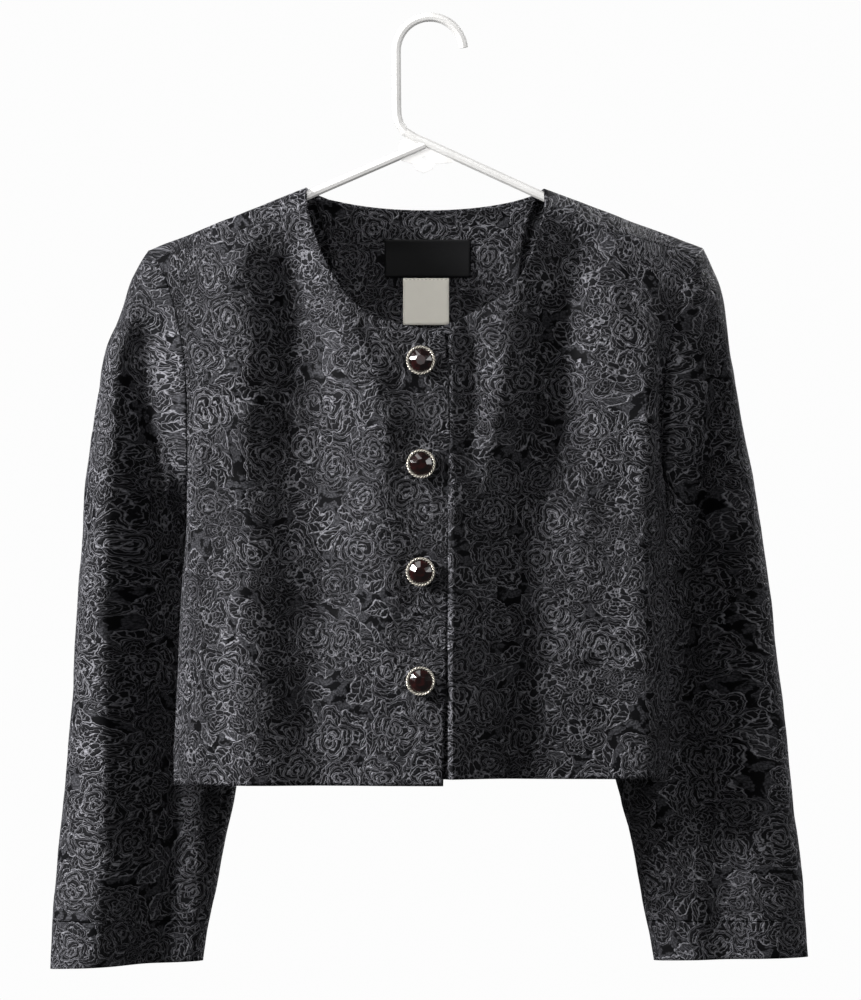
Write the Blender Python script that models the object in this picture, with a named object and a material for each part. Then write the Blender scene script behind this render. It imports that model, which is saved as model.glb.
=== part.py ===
"""A cropped, boxy, collarless evening jacket on its moulded hanger.

Tables are in millimetres and the finished meshes in metres. The origin is the inside top of
the hook. X runs to the right as the jacket is seen from the front, Y away from the viewer and
Z up. "Drop" is how far a point lies under the shoulder ridge, measured straight down.
"""
import math
from collections import namedtuple

import bmesh
import bpy
import numpy as np
from mathutils import Matrix, Vector
from mathutils.bvhtree import BVHTree

# Cloth
WALL = 2.0
FACING_WALL = 1.2
LABEL_WALL = 1.0
SEAM_GAP = 0.3
MITRE_LIMIT = 0.45

# Shoulders: where the ridge meets the neck, and how it falls from there
NECK_LEFT, NECK_LEFT_Z, FALL_LEFT = -102.5, -135.3, 0.406
NECK_RIGHT, NECK_RIGHT_Z, FALL_RIGHT = 94.3, -136.1, 0.381
RIDGE_CAP = 60.0
RIDGE_SHARE = 0.16
CENTRE_X = -7.4
ROUNDNESS = {"front": 2.3, "back": 3.0}

# Body, a row for each drop: the outline's x on each side, the depth y of the front at its
# centre, at the side fold and at the seam, how far the seam lies inside the outline, and the
# depth of the back at its centre
Body = namedtuple("Body", "drop left right front fold seam inset back rear")
BODY = [
    Body(0, -233.7, 225.5, 0, 0, 0, 0, 0, 0),
    Body(3, -229.0, 223.5, -11, -9, -9, 0, 10, 9),
    Body(10, -225.0, 219.4, -20, -18, -18, 0, 17, 16),
    Body(20, -220.6, 214.2, -29, -25, -25, 0, 23, 22),
    Body(48, -211.5, 204.6, -42, -33, -33, 0, 31, 28),
    Body(82, -204.2, 197.7, -50, -37, -37, 0, 35, 31),
    Body(115, -200.1, 192.9, -55, -39, -39, 0, 37, 30),
    Body(155, -199.3, 191.1, -59, -38, -38, 0, 38.5, 25),
    Body(185, -199.5, 191.0, -61, -35, -32, 0.5, 39, 16),
    Body(203, -199.7, 191.1, -62, -31, -20, 3, 39.5, 6),
    Body(214, -199.8, 191.3, -62.5, -28, -2, 8, 40, -2),
    Body(232, -200.1, 191.9, -63, -27, -4, 9, 40, -4),
    Body(264, -202.5, 192.4, -63.5, -27, -7, 10, 40, -7),
    Body(310, -205.8, 194.5, -64, -26, -8, 10, 39.5, -8),
    Body(372, -209.1, 195.2, -63, -25, -8, 10, 38, -8),
    Body(435, -211.6, 194.6, -61, -24, -8, 10, 36, -8),
    Body(448, -211.0, 194.3, -60, -24, -8, 10, 35.5, -8),
    Body(510, -211.0, 194.3, -58, -24, -8, 10, 34, -8),
]
HEM_DROP = 448
UNDERARM_DROP = 214
SIDE_ROWS = 10
ARMHOLE_DROPS = (207, 197, 182, 158, 130, 102, 76, 52, 33, 20, 10)
OVER_DROPS = (3, 0)

# Centre edges of the fronts, as x, z: the placket from hem to neck, then the neckline
PLACKET_ROWS = 13
TOP_PLACKET = [(10.7, -627.5), (12.8, -556), (15.2, -443), (15.6, -303), (12.0, -256)]
UNDER_PLACKET = [(-28, -622), (-28, -256.5)]
TOP_NECK = [(12, -256), (-13.1, -251.8), (-36.9, -246.8), (-60.7, -233.7), (-72, -220),
            (-82, -204.2), (-93, -181), (-99.2, -159.9), (-100.9, -153.3)]
UNDER_NECK = [(-28, -256.5), (5, -254), (24.6, -245.2), (43.5, -235.3), (62.3, -224.7),
              (77.9, -202.5), (86.9, -177.1), (93, -160), (94.3, -154.2)]
BACK_NECK_DROP = 19.0
NECK_SCOOP = 1.2
BACK_HEM_Z = -624.0
FRONT_COLUMNS = 11
WRAP_START = 0.92
NECK_COLUMNS = 10

# The under front lies behind the top one, past this stretch of x
UNDER_FROM, UNDER_TO, UNDER_DEPTH = 48.0, 22.0, 3.4
PLACKET_LIFT, PLACKET_LIFT_WIDTH = 2.5, 30.0

# Main folds: face, the two ends as x, z, the width and the rise towards the outside
Fold = namedtuple("Fold", "face x0 z0 x1 z1 width rise")
FOLDS = [
    Fold("front", -117, -213, -128, -344, 18, -4),
    Fold("front", -127, -350, -113, -580, 20, -4),
    Fold("front", -88, -210, -40, -330, 20, 4),
    Fold("front", -34, -330, -46, -416, 18, 3),
    Fold("front", 98, -180, 94, -257, 16, -4),
    Fold("front", 92, -262, 52, -421, 20, -5),
    Fold("front", 57, -450, 60, -612, 26, -4),
    Fold("front", 117, -213, 139, -289, 24, 4),
    Fold("front", 139, -295, 118, -560, 26, 4),
    Fold("back", -112, -230, -96, -600, 24, -5),
    Fold("back", -40, -280, -30, -600, 26, 3),
    Fold("back", 70, -220, 62, -560, 22, -5),
    Fold("back", 128, -330, 120, -610, 24, 3),
    Fold("sleeve_right front", -232, -225, -214, -330, 11, 5),
    Fold("sleeve_right front", -248, -255, -236, -420, 13, -12),
    Fold("sleeve_right front", -236, -425, -240, -620, 17, -9),
    Fold("sleeve_right front", -290, -430, -296, -690, 14, 3),
    Fold("sleeve_right back", -240, -420, -246, -640, 22, -7),
    Fold("sleeve_left front", 224, -225, 207, -330, 11, 5),
    Fold("sleeve_left front", 240, -255, 230, -420, 13, -12),
    Fold("sleeve_left front", 230, -425, 236, -620, 17, -9),
    Fold("sleeve_left front", 284, -430, 292, -690, 14, 3),
    Fold("sleeve_left back", 232, -420, 240, -640, 22, -7),
]

# Sleeves, a ring for each row from armhole to cuff: the outer and the inner edge as x, z, y,
# and how far the front and the back bulge from the line between them
Ring = namedtuple("Ring", "outer_x outer_z inner_x inner_z outer_y inner_y front back")
SLEEVE_RIGHT = [
    Ring(-240.3, -198.4, -196.5, -392.5, 0, 0, 39, 35),
    Ring(-246.8, -212.4, -196.0, -396.0, 0, 3, 39, 36),
    Ring(-252.6, -232.1, -192.5, -401.0, 0, 7, 38, 37),
    Ring(-257.5, -259.9, -187.0, -408.0, 0, 11, 37, 38),
    Ring(-262.4, -299.3, -178.0, -418.6, 0, 16, 36, 38),
    Ring(-267.3, -344.4, -168.0, -435.0, 2, 21, 35, 37),
    Ring(-272.2, -389.5, -159.5, -458.0, 4, 26, 34, 35),
    Ring(-278.0, -442.8, -153.3, -489.0, 7, 29, 32, 33),
    Ring(-283.7, -496.1, -150.0, -525.0, 10, 30, 30, 31),
    Ring(-289.5, -549.4, -150.0, -564.0, 13, 31, 29, 30),
    Ring(-295.2, -598.6, -153.3, -604.0, 15, 30, 28, 29),
    Ring(-300.1, -643.7, -159.9, -637.0, 16, 28, 28, 29),
    Ring(-304.2, -684.7, -168.1, -676.5, 16, 25, 27, 28),
    Ring(-308.3, -725.7, -176.3, -716.7, 16, 22, 27, 28),
    Ring(-311.4, -762.0, -183.0, -755.0, 16, 19, 26, 28),
    Ring(-312.6, -780.0, -185.5, -773.0, 16, 18, 26, 28),
]
SLEEVE_LEFT = [
    Ring(231.5, -198.4, 188.0, -392.5, 0, 0, 39, 35),
    Ring(237.8, -212.4, 187.5, -396.0, 0, 3, 39, 36),
    Ring(241.5, -232.1, 184.5, -401.0, 0, 7, 38, 37),
    Ring(246.0, -259.9, 179.5, -408.0, 0, 11, 37, 38),
    Ring(252.2, -299.3, 171.0, -418.6, 0, 16, 36, 38),
    Ring(259.5, -344.4, 161.5, -435.0, 2, 21, 35, 37),
    Ring(265.7, -389.5, 153.0, -458.0, 4, 26, 34, 35),
    Ring(273.5, -442.8, 147.0, -489.0, 7, 29, 32, 33),
    Ring(280.9, -496.1, 143.5, -525.0, 10, 30, 30, 31),
    Ring(287.8, -549.4, 143.5, -564.0, 13, 31, 29, 30),
    Ring(294.1, -597.0, 146.7, -603.0, 15, 30, 28, 29),
    Ring(298.5, -639.6, 155.0, -636.0, 16, 28, 28, 29),
    Ring(303.4, -679.0, 164.8, -676.5, 16, 25, 27, 28),
    Ring(307.3, -719.0, 173.0, -716.7, 16, 22, 27, 28),
    Ring(310.4, -753.0, 180.0, -755.0, 16, 19, 26, 28),
    Ring(311.6, -770.0, 183.0, -773.0, 16, 18, 26, 28),
]
ARMHOLE_FADE = 6
SLEEVE_FULLNESS = 0.85
SLEEVE_CLEARANCE, SLEEVE_SIDE_CLEARANCE = 6.0, 3.0
SLEEVE_ROUND_BODY, SLEEVE_OVER_BODY = 2.5, 3.0

# Facing and labels
FACING_ROWS = 7
Label = namedtuple("Label", "name x z width height material")
LABELS = [
    Label("brand_label", -2.0, -194.1, 71.5, 31.5, "label_black"),
    Label("care_label", -3.3, -229.7, 38.0, 38.6, "label_cream"),
]
LABEL_STEP = 9.0

# Buttons
BUTTON_X = -7.4
BUTTON_HEIGHTS = (-279.6, -364.1, -452.2, -541.2)
RIM_RADIUS = 11.9
STONE_RADIUS = 10.2
STONE_TABLE_RADIUS = 4.0
STONE_HEIGHT = 5.0
STONE_SIDES = 16
RIM_SIDES = 20

# Hanger
TUBE_RADIUS = 3.9
HOOK_RADIUS = 27.7
ARM_SEAT = 1.9
LEG_BEND = [(-27.4, -70), (-27.0, -77), (-25.2, -84), (-20.5, -90.6), (-12.3, -95.7), (-3.3, -99.6)]
ARM_END_LEFT, ARM_END_RIGHT = -203.0, 199.0
TIP_BEND, TIP_TURN = 30.0, 40.0
ARM_ROOT = (-4.6, -101.2)
WEB_THICKNESS = 3.0
WEB_OUTLINE = [(-28, -113), (-24, -97), (-14, -97), (-3, -101), (8, -104), (20, -109),
               (19, -116), (4, -117), (1, -122), (-5, -124.5), (-11, -122), (-14, -117)]
WEB_HOLE = (-4.5, -112.5)
WEB_HOLE_RADIUS = 1.8

COLOURS = {
    "cloth": ((0.018, 0.018, 0.022, 1), 0.55, 0.0),
    "label_black": ((0.012, 0.012, 0.012, 1), 0.7, 0.0),
    "label_cream": ((0.78, 0.74, 0.64, 1), 0.75, 0.0),
    "rim_metal": ((0.72, 0.66, 0.52, 1), 0.3, 1.0),
    "stone": ((0.03, 0.006, 0.006, 1), 0.08, 0.0),
    "plastic": ((0.86, 0.86, 0.85, 1), 0.35, 0.0),
}


def start():
    """Empty the scene and make the part's collection and the cutters'."""
    for thing in list(bpy.data.objects):
        bpy.data.objects.remove(thing)
    made = {}
    for name in ("evening_jacket", "cutters"):
        made[name] = bpy.data.collections.new(name)
        bpy.context.scene.collection.children.link(made[name])
    return made


def material(name):
    """A Principled material with the part's colour, roughness and metallic value."""
    found = bpy.data.materials.get(name)
    if found:
        return found
    colour, roughness, metallic = COLOURS[name]
    made = bpy.data.materials.new(name)
    made.use_nodes = True
    shader = made.node_tree.nodes["Principled BSDF"]
    shader.inputs["Base Color"].default_value = colour
    shader.inputs["Roughness"].default_value = roughness
    shader.inputs["Metallic"].default_value = metallic
    return made


def add_object(name, bm, finish, smooth=True):
    """Turn a bmesh in millimetres into a named object in metres."""
    bmesh.ops.scale(bm, vec=(0.001, 0.001, 0.001), verts=bm.verts)
    mesh = bpy.data.meshes.new(name)
    bm.to_mesh(mesh)
    bm.free()
    if smooth:
        mesh.shade_smooth()
        mesh.set_sharp_from_angle(angle=math.radians(35))
    mesh.materials.append(material(finish))
    thing = bpy.data.objects.new(name, mesh)
    COLLECTIONS["evening_jacket"].objects.link(thing)
    return thing


def smooth_curve(keys, values):
    """A smooth curve through a table's points, held level past both ends."""
    keys = np.array(keys, float)
    values = np.array(values, float)
    slopes = np.gradient(values, keys)

    def at(key):
        key = min(max(key, keys[0]), keys[-1])
        i = min(int(np.searchsorted(keys, key, "right")) - 1, len(keys) - 2)
        step = keys[i + 1] - keys[i]
        t = (key - keys[i]) / step
        start_value = values[i] + t * step * slopes[i]
        end_value = values[i + 1] - (1 - t) * step * slopes[i + 1]
        ease = t * t * (3 - 2 * t)
        return float((1 - ease) * start_value + ease * end_value)

    return at


BODY_AT = {
    column: smooth_curve([row.drop for row in BODY], [getattr(row, column) for row in BODY])
    for column in Body._fields[1:]
}


def ridge_z(x):
    """Height of the shoulder ridge, carried on over the neck by a smooth cap."""
    if x < CENTRE_X:
        past, height, fall = NECK_LEFT - x, NECK_LEFT_Z, FALL_LEFT
    else:
        past, height, fall = x - NECK_RIGHT, NECK_RIGHT_Z, FALL_RIGHT
    if past >= 0:
        return height - fall * past
    inward = min(-past / RIDGE_CAP, 1)
    return height + fall * RIDGE_CAP * (inward - inward * inward / 2)


def fold_rise(face, x, z):
    """How far the main folds lift the cloth at a place on a face."""
    total = 0.0
    for fold in FOLDS:
        if fold.face != face:
            continue
        along = Vector((fold.x1 - fold.x0, fold.z1 - fold.z0))
        place = Vector((x - fold.x0, z - fold.z0))
        t = min(max(place.dot(along) / along.length_squared, 0), 1)
        away = (place - t * along).length / fold.width
        total += fold.rise * math.exp(-away * away)
    return total


def edge_point(side, drop, column):
    """A point on the front outline or on the seam, at a drop, as x, y, z."""
    outline = BODY_AT["left" if side < 0 else "right"](drop)
    inset = 0 if column == "fold" else BODY_AT["inset"](drop)
    z = ridge_z(outline) - drop
    return Vector((outline - side * inset, BODY_AT[column](drop), z))


def torso_y(face, x, z):
    """Depth of the front or the back of the body at a place seen from the front."""
    side = -1 if x < CENTRE_X else 1
    drop = max(ridge_z(x) - z, 0)
    edge_column = "fold" if face == "front" else "rear"
    outline = BODY_AT["left" if side < 0 else "right"](drop)
    if face == "back":
        outline -= side * BODY_AT["inset"](drop)
    across = min(abs((x - CENTRE_X) / (outline - CENTRE_X)), 1) ** ROUNDNESS[face]
    depth = BODY_AT[edge_column](drop) * across + BODY_AT[face](drop) * (1 - across)
    away = 1 if face == "back" else -1
    settle = min(drop / 60, 1) * (1 - across ** 3)
    return depth + away * settle * fold_rise(face, x, z)


def evenly(points, count):
    """Points spaced evenly along a line through the given x, z points."""
    points = [Vector(point) for point in points]
    lengths = [0.0]
    for a, b in zip(points, points[1:]):
        lengths.append(lengths[-1] + (b - a).length)
    x_at = smooth_curve(lengths, [point.x for point in points])
    z_at = smooth_curve(lengths, [point.y for point in points])
    steps = np.linspace(0, lengths[-1], count + 1)
    return [Vector((x_at(step), z_at(step))) for step in steps]


def side_drops():
    """Drops of the seam's points from hem to underarm, then up the armhole."""
    return list(np.linspace(HEM_DROP, UNDERARM_DROP, SIDE_ROWS + 1)) + list(ARMHOLE_DROPS)


def placket_shift(x, z, on_top):
    """How far a front lies off the common surface where the two fronts overlap."""
    if on_top:
        low = min(max((-300 - z) / 320, 0), 1)
        near = math.exp(-(((x - 12) / PLACKET_LIFT_WIDTH) ** 2))
        return -(0.4 + PLACKET_LIFT * low) * near
    t = min(max((UNDER_FROM - x) / (UNDER_FROM - UNDER_TO), 0), 1)
    return UNDER_DEPTH * t * t * (3 - 2 * t)


def front_rows(side, placket, neckline, on_top):
    """The grid of one front: rows from hem to shoulder seam, from the centre to the side."""
    inner = evenly(placket, PLACKET_ROWS)
    inner += evenly(neckline, SIDE_ROWS + len(ARMHOLE_DROPS) - PLACKET_ROWS)[1:]
    rows = []
    for start_at, drop in zip(inner, side_drops()):
        outline = edge_point(side, drop, "fold")
        row = []
        for share in np.linspace(0, WRAP_START, FRONT_COLUMNS):
            x = start_at.x + (outline.x - start_at.x) * share
            z = start_at.y + (outline.z - start_at.y) * share
            row.append(Vector((x, torso_y("front", x, z) + placket_shift(x, z, on_top), z)))
        seam = edge_point(side, drop, "seam")
        turn = outline.copy()
        turn.x += side * math.sqrt(abs(row[-1].x - outline.x) * abs(seam.x - outline.x))
        begin = row[-1]
        bent = min(BODY_AT["inset"](drop) / 8, 1)
        for share in (0.3, 0.55, 0.8, 1.0):
            t = bent * share + (1 - bent) * (1 - math.sqrt(1 - share))
            row.append((1 - t) ** 2 * begin + 2 * t * (1 - t) * turn + t * t * seam)
        rows.append(row)
    return rows


def back_point(x, z):
    return Vector((x, torso_y("back", x, z), z))


def back_seam(side, drop):
    return edge_point(side, drop, "rear")


def back_grids(left_front, right_front):
    """The back's grids: the main one up to the ridge, and a strip over each shoulder."""
    drops = side_drops() + list(OVER_DROPS)
    count = len(left_front[-1])
    shares = [(point.x - left_front[-1][0].x) / (left_front[-1][-1].x - left_front[-1][0].x)
              for point in left_front[-1]]
    ridge_left = [Vector((x, ridge_z(x))) for x in
                  (NECK_LEFT + (BODY[0].left - NECK_LEFT) * share for share in shares)]
    ridge_right = [Vector((x, ridge_z(x))) for x in
                   (NECK_RIGHT + (BODY[0].right - NECK_RIGHT) * share for share in shares)]
    neck = []
    for step in range(1, NECK_COLUMNS):
        t = step / NECK_COLUMNS
        x = NECK_LEFT + (NECK_RIGHT - NECK_LEFT) * (1 - math.cos(math.pi * t)) / 2
        level = NECK_LEFT_Z + (NECK_RIGHT_Z - NECK_LEFT_Z) * t
        neck.append(Vector((x, level - BACK_NECK_DROP * math.sin(math.pi * t) ** NECK_SCOOP)))
    top = ridge_left[::-1] + neck + ridge_right
    last = len(top) - 1
    hem_left, hem_right = back_seam(-1, HEM_DROP), back_seam(1, HEM_DROP)
    rows = []
    for k, drop in enumerate(drops):
        up = k / (len(drops) - 1)
        left, right = back_seam(-1, drop), back_seam(1, drop)
        row = [left]
        for j in range(1, last):
            a = j / last
            hem_x = hem_left.x + (hem_right.x - hem_left.x) * a
            sag = (BACK_HEM_Z - hem_left.z) * math.sin(math.pi * a)
            hem = Vector((hem_x, hem_left.z + (hem_right.z - hem_left.z) * a + sag))
            crown = (1 - a) * top[0] + a * top[-1]
            base = (1 - a) * Vector((hem_left.x, hem_left.z)) + a * Vector((hem_right.x, hem_right.z))
            level = (1 - a) * Vector((left.x, left.z)) + a * Vector((right.x, right.z))
            place = level + up * (top[j] - crown) + (1 - up) * (hem - base)
            row.append(back_point(place.x, place.y))
        row.append(right)
        rows.append(row)
    strips = []
    for side, ridge, seam_row in ((-1, ridge_left, left_front[-1]), (1, ridge_right, right_front[-1])):
        top_row = [back_point(p.x, p.y) for p in ridge]
        top_row[-1] = back_seam(side, 0)
        middle = []
        for over, under in zip(top_row, seam_row):
            x = over.x + (under.x - over.x) * RIDGE_SHARE
            z = over.z + (under.z - over.z) * RIDGE_SHARE
            middle.append(Vector((x, torso_y("front", x, z), z)))
        middle[-1] = edge_point(side, OVER_DROPS[0], "seam")
        strips.append([top_row, middle, seam_row])
    return [rows] + strips


def armhole_loop(side):
    """The armhole from the underarm up the front, over the ridge and down the back, with each
    point's angle round the sleeve."""
    front = (UNDERARM_DROP,) + ARMHOLE_DROPS + (OVER_DROPS[0],)
    points = [edge_point(side, drop, "seam") for drop in front]
    points.append(back_seam(side, 0))
    points += [back_seam(side, drop) for drop in front[:0:-1]]
    levels = [1 - drop / UNDERARM_DROP for drop in front]
    turns = [math.acos(1 - 2 * level) for level in levels]
    turns += [math.pi] + [2 * math.pi - turn for turn in turns[:0:-1]]
    return points, turns


def behind_body(side, x, z):
    """The depth that a sleeve stays behind where it passes the body, eased off past its edge."""
    drop = ridge_z(x) - z
    outline = BODY_AT["left" if side < 0 else "right"](drop)
    outside = max((x - outline) * side - SLEEVE_SIDE_CLEARANCE, 0)
    above = max(UNDERARM_DROP + 2 - drop, 0)
    limit = torso_y("back", x, z) + SLEEVE_CLEARANCE
    return limit - SLEEVE_ROUND_BODY * outside - SLEEVE_OVER_BODY * above


def sleeve_rows(name, side, table):
    """Rings of one sleeve, from the armhole to the cuff."""
    loop, turns = armhole_loop(side)
    top, bottom = back_seam(side, 0), loop[0]
    first = Ring(top.x, top.z, bottom.x, bottom.z, top.y, bottom.y, 38, 34)

    def ideal(ring):
        points = []
        for turn in turns:
            out = (1 - math.cos(turn)) / 2
            x = ring.inner_x + (ring.outer_x - ring.inner_x) * out
            z = ring.inner_z + (ring.outer_z - ring.inner_z) * out
            y = ring.inner_y + (ring.outer_y - ring.inner_y) * out
            bulge = abs(math.sin(turn)) ** SLEEVE_FULLNESS
            face = "front" if turn < math.pi else "back"
            reach = ring.front if face == "front" else ring.back
            rise = fold_rise(f"{name} {face}", x, z)
            swell = reach * bulge + rise * bulge
            points.append(Vector((x, y - swell if face == "front" else y + swell, z)))
        return points

    start_ring = ideal(first)
    rows = [loop + [loop[0]]]
    for number, ring in enumerate(table, 1):
        fade = max(1 - number / ARMHOLE_FADE, 0) ** 1.5
        row = []
        for place, actual, plain in zip(ideal(ring), loop, start_ring):
            point = place + (actual - plain) * fade
            point.y = max(point.y, behind_body(side, point.x, point.z))
            row.append(point)
        rows.append(row + [row[0]])
    return rows


def place_key(point):
    return tuple(round(value, 2) for value in point)


def sheet_mesh(grids):
    """One open surface from grids of points, joined where they share points."""
    bm = bmesh.new()
    for rows in grids:
        made = [[bm.verts.new(point) for point in row] for row in rows]
        for low, high in zip(made, made[1:]):
            for a, b, c, d in zip(low, low[1:], high[1:], high):
                bm.faces.new((a, b, c, d))
    bmesh.ops.remove_doubles(bm, verts=bm.verts, dist=0.01)
    return bm


def shared_normals(panels):
    """Normals and mitre lengths at every point of the sewn-up jacket, seams included."""
    bm = sheet_mesh([rows for grids in panels.values() for rows in grids])
    bmesh.ops.recalc_face_normals(bm, faces=bm.faces)
    bm.normal_update()
    found = {}
    for vert in bm.verts:
        leans = [max(vert.normal.dot(face.normal), 0) for face in vert.link_faces]
        mean = max(sum(leans) / len(leans), MITRE_LIMIT)
        found[place_key(vert.co)] = (vert.normal.copy(), 1 / mean)
    bm.free()
    return found


def seam_places(panels):
    """The places that two panels share."""
    owners = {}
    for name, grids in panels.items():
        for rows in grids:
            for row in rows:
                for point in row:
                    owners.setdefault(place_key(point), set()).add(name)
    return {place for place, names in owners.items() if len(names) > 1}


def thicken(bm, inward):
    """Give an open surface a wall: inward holds each vertex's step to the inner side."""
    home = bm.verts.layers.int.new("home")
    bm.verts.ensure_lookup_table()
    for vert in bm.verts:
        vert[home] = vert.index
    steps = [inward[vert.index] for vert in bm.verts]
    made = bmesh.ops.extrude_face_region(bm, geom=bm.faces[:], use_keep_orig=True)["geom"]
    for thing in made:
        if isinstance(thing, bmesh.types.BMVert):
            thing.co += steps[thing[home]]
    bm.verts.layers.int.remove(home)
    bmesh.ops.triangulate(bm, faces=bm.faces)
    bmesh.ops.recalc_face_normals(bm, faces=bm.faces)


def cloth_wall(name, grids, normals, seams, finish="cloth"):
    """A panel's wall: its seam edges drawn back by half the seam gap, and mitred."""
    bm = sheet_mesh(grids)
    bm.verts.ensure_lookup_table()
    inward, moves = [], []
    for vert in bm.verts:
        normal, length = normals[place_key(vert.co)]
        inward.append(-normal * WALL * length)
        move = Vector((0, 0, 0))
        if place_key(vert.co) in seams:
            middles = [face.calc_center_median() - vert.co for face in vert.link_faces]
            ends = [edge.other_vert(vert).co for edge in vert.link_edges if edge.is_boundary]
            across = normal.cross(ends[0] - ends[-1]).normalized()
            if across.dot(sum(middles, Vector((0, 0, 0)))) < 0:
                across = -across
            move = across * SEAM_GAP * 0.6
        moves.append(move)
    for vert, move in zip(bm.verts, moves):
        vert.co += move
    thicken(bm, inward)
    return add_object(name, bm, finish)


def neck_facing(back_main, normals):
    """The facing inside the back neck, made from the back's own points moved inward."""
    rows = back_main[-FACING_ROWS - 1:]
    shoulder = len(back_main[0]) // 2
    reach = NECK_COLUMNS // 2 - 1
    rows = [row[shoulder - reach:shoulder + reach + 1] for row in rows]
    bm = sheet_mesh([rows])
    inward = []
    for vert in bm.verts:
        normal, length = normals[place_key(vert.co)]
        inward.append(-normal * FACING_WALL * length)
        vert.co += -normal * (WALL + SEAM_GAP) * length
    for vert in bm.verts:
        if vert.is_boundary:
            vert.co.z -= 1.2
    thicken(bm, inward)
    return add_object("neck_facing", bm, "cloth")


def surface_of(thing):
    """A search tree over an object's surface, in millimetres."""
    bm = bmesh.new()
    bm.from_mesh(thing.data)
    bmesh.ops.scale(bm, vec=(1000, 1000, 1000), verts=bm.verts)
    tree = BVHTree.FromBMesh(bm)
    bm.free()
    return tree


def add_label(label, tree):
    """A bare label lying on the facing."""
    across = max(2, round(label.width / LABEL_STEP))
    tall = max(2, round(label.height / LABEL_STEP))
    rows = []
    for i in range(tall + 1):
        z = label.z - label.height / 2 + label.height * i / tall
        row = []
        for j in range(across + 1):
            x = label.x - label.width / 2 + label.width * j / across
            hit = tree.ray_cast(Vector((x, -20, z)), Vector((0, 1, 0)))[0]
            row.append(Vector((x, hit.y - SEAM_GAP - 0.1, z)))
        rows.append(row)
    bm = sheet_mesh([rows])
    thicken(bm, [Vector((0, -LABEL_WALL, 0))] * len(bm.verts))
    return add_object(label.name, bm, label.material)


def turned(profile, sides):
    """A solid turned round Z from a closed profile of radius, height points."""
    bm = bmesh.new()
    verts = [bm.verts.new((radius, 0, height)) for radius, height in profile]
    edges = [bm.edges.new(pair) for pair in zip(verts, verts[1:])]
    bmesh.ops.spin(bm, geom=verts + edges, cent=(0, 0, 0), axis=(0, 0, 1),
                   angle=2 * math.pi, steps=sides, use_merge=True)
    bmesh.ops.remove_doubles(bm, verts=bm.verts, dist=0.001)
    bmesh.ops.recalc_face_normals(bm, faces=bm.faces)
    return bm


def rim_mesh():
    """A cup with a shank under it: z = 0 is the cloth's side."""
    edge, cup = RIM_RADIUS, STONE_RADIUS + SEAM_GAP
    return turned([(0, 0), (3, 0), (3, 1.4), (edge - 1, 1.4), (edge, 2.2), (edge, 3.6),
                   (edge - 0.6, 4.2), (cup, 3.8), (cup, 2.6), (0, 2.6)], RIM_SIDES)


def stone_mesh():
    """A faceted stone standing in the cup."""
    foot, girdle = 2.6 + SEAM_GAP, 4.6
    bm = turned([(0, foot), (STONE_RADIUS, foot), (STONE_RADIUS, girdle),
                 (STONE_TABLE_RADIUS + 3.4, girdle + 2.0), (STONE_TABLE_RADIUS, foot + STONE_HEIGHT),
                 (0, foot + STONE_HEIGHT)], STONE_SIDES)
    bmesh.ops.dissolve_limit(bm, angle_limit=0.01, verts=bm.verts, edges=bm.edges)
    return bm


def add_buttons(tree):
    """Four buttons seated on the top front."""
    for number, z in enumerate(BUTTON_HEIGHTS, 1):
        hit, normal, _, _ = tree.ray_cast(Vector((BUTTON_X, -200, z)), Vector((0, 1, 0)))
        if normal.y > 0:
            normal = -normal
        turn = Vector((0, 0, 1)).rotation_difference(normal).to_matrix().to_4x4()
        seat = Matrix.Translation(hit + normal * (SEAM_GAP + 0.1)) @ turn
        for piece, shape, finish in (("rim", rim_mesh, "rim_metal"), ("stone", stone_mesh, "stone")):
            bm = shape()
            bmesh.ops.transform(bm, matrix=seat, verts=bm.verts)
            add_object(f"button_{number}_{piece}", bm, finish, smooth=piece == "rim")


def tube(name, points, radius):
    """A round bar along x, z points, as a closed mesh object in metres."""
    curve = bpy.data.curves.new(name, "CURVE")
    curve.dimensions = "3D"
    curve.bevel_depth = radius * 0.001
    curve.bevel_resolution = 3
    curve.use_fill_caps = True
    spline = curve.splines.new("POLY")
    spline.points.add(len(points) - 1)
    for knot, (x, z) in zip(spline.points, points):
        knot.co = (x * 0.001, 0, z * 0.001, 1)
    return as_mesh(name, curve)


def as_mesh(name, curve):
    """A curve's evaluated mesh as an object, with its caps welded on."""
    holder = bpy.data.objects.new(name + "_curve", curve)
    COLLECTIONS["cutters"].objects.link(holder)
    bpy.context.view_layer.update()
    graph = bpy.context.evaluated_depsgraph_get()
    mesh = bpy.data.meshes.new_from_object(holder.evaluated_get(graph))
    bpy.data.objects.remove(holder)
    bm = bmesh.new()
    bm.from_mesh(mesh)
    bmesh.ops.remove_doubles(bm, verts=bm.verts, dist=0.00001)
    bmesh.ops.recalc_face_normals(bm, faces=bm.faces)
    bm.to_mesh(mesh)
    bm.free()
    mesh.name = name
    return bpy.data.objects.new(name, mesh)


def arc(centre, radius, start_angle, end_angle, steps):
    """Points on an arc, angles in degrees from +X towards +Z."""
    angles = np.radians(np.linspace(start_angle, end_angle, steps + 1))
    return [(centre[0] + radius * math.cos(a), centre[1] + radius * math.sin(a)) for a in angles]


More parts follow.
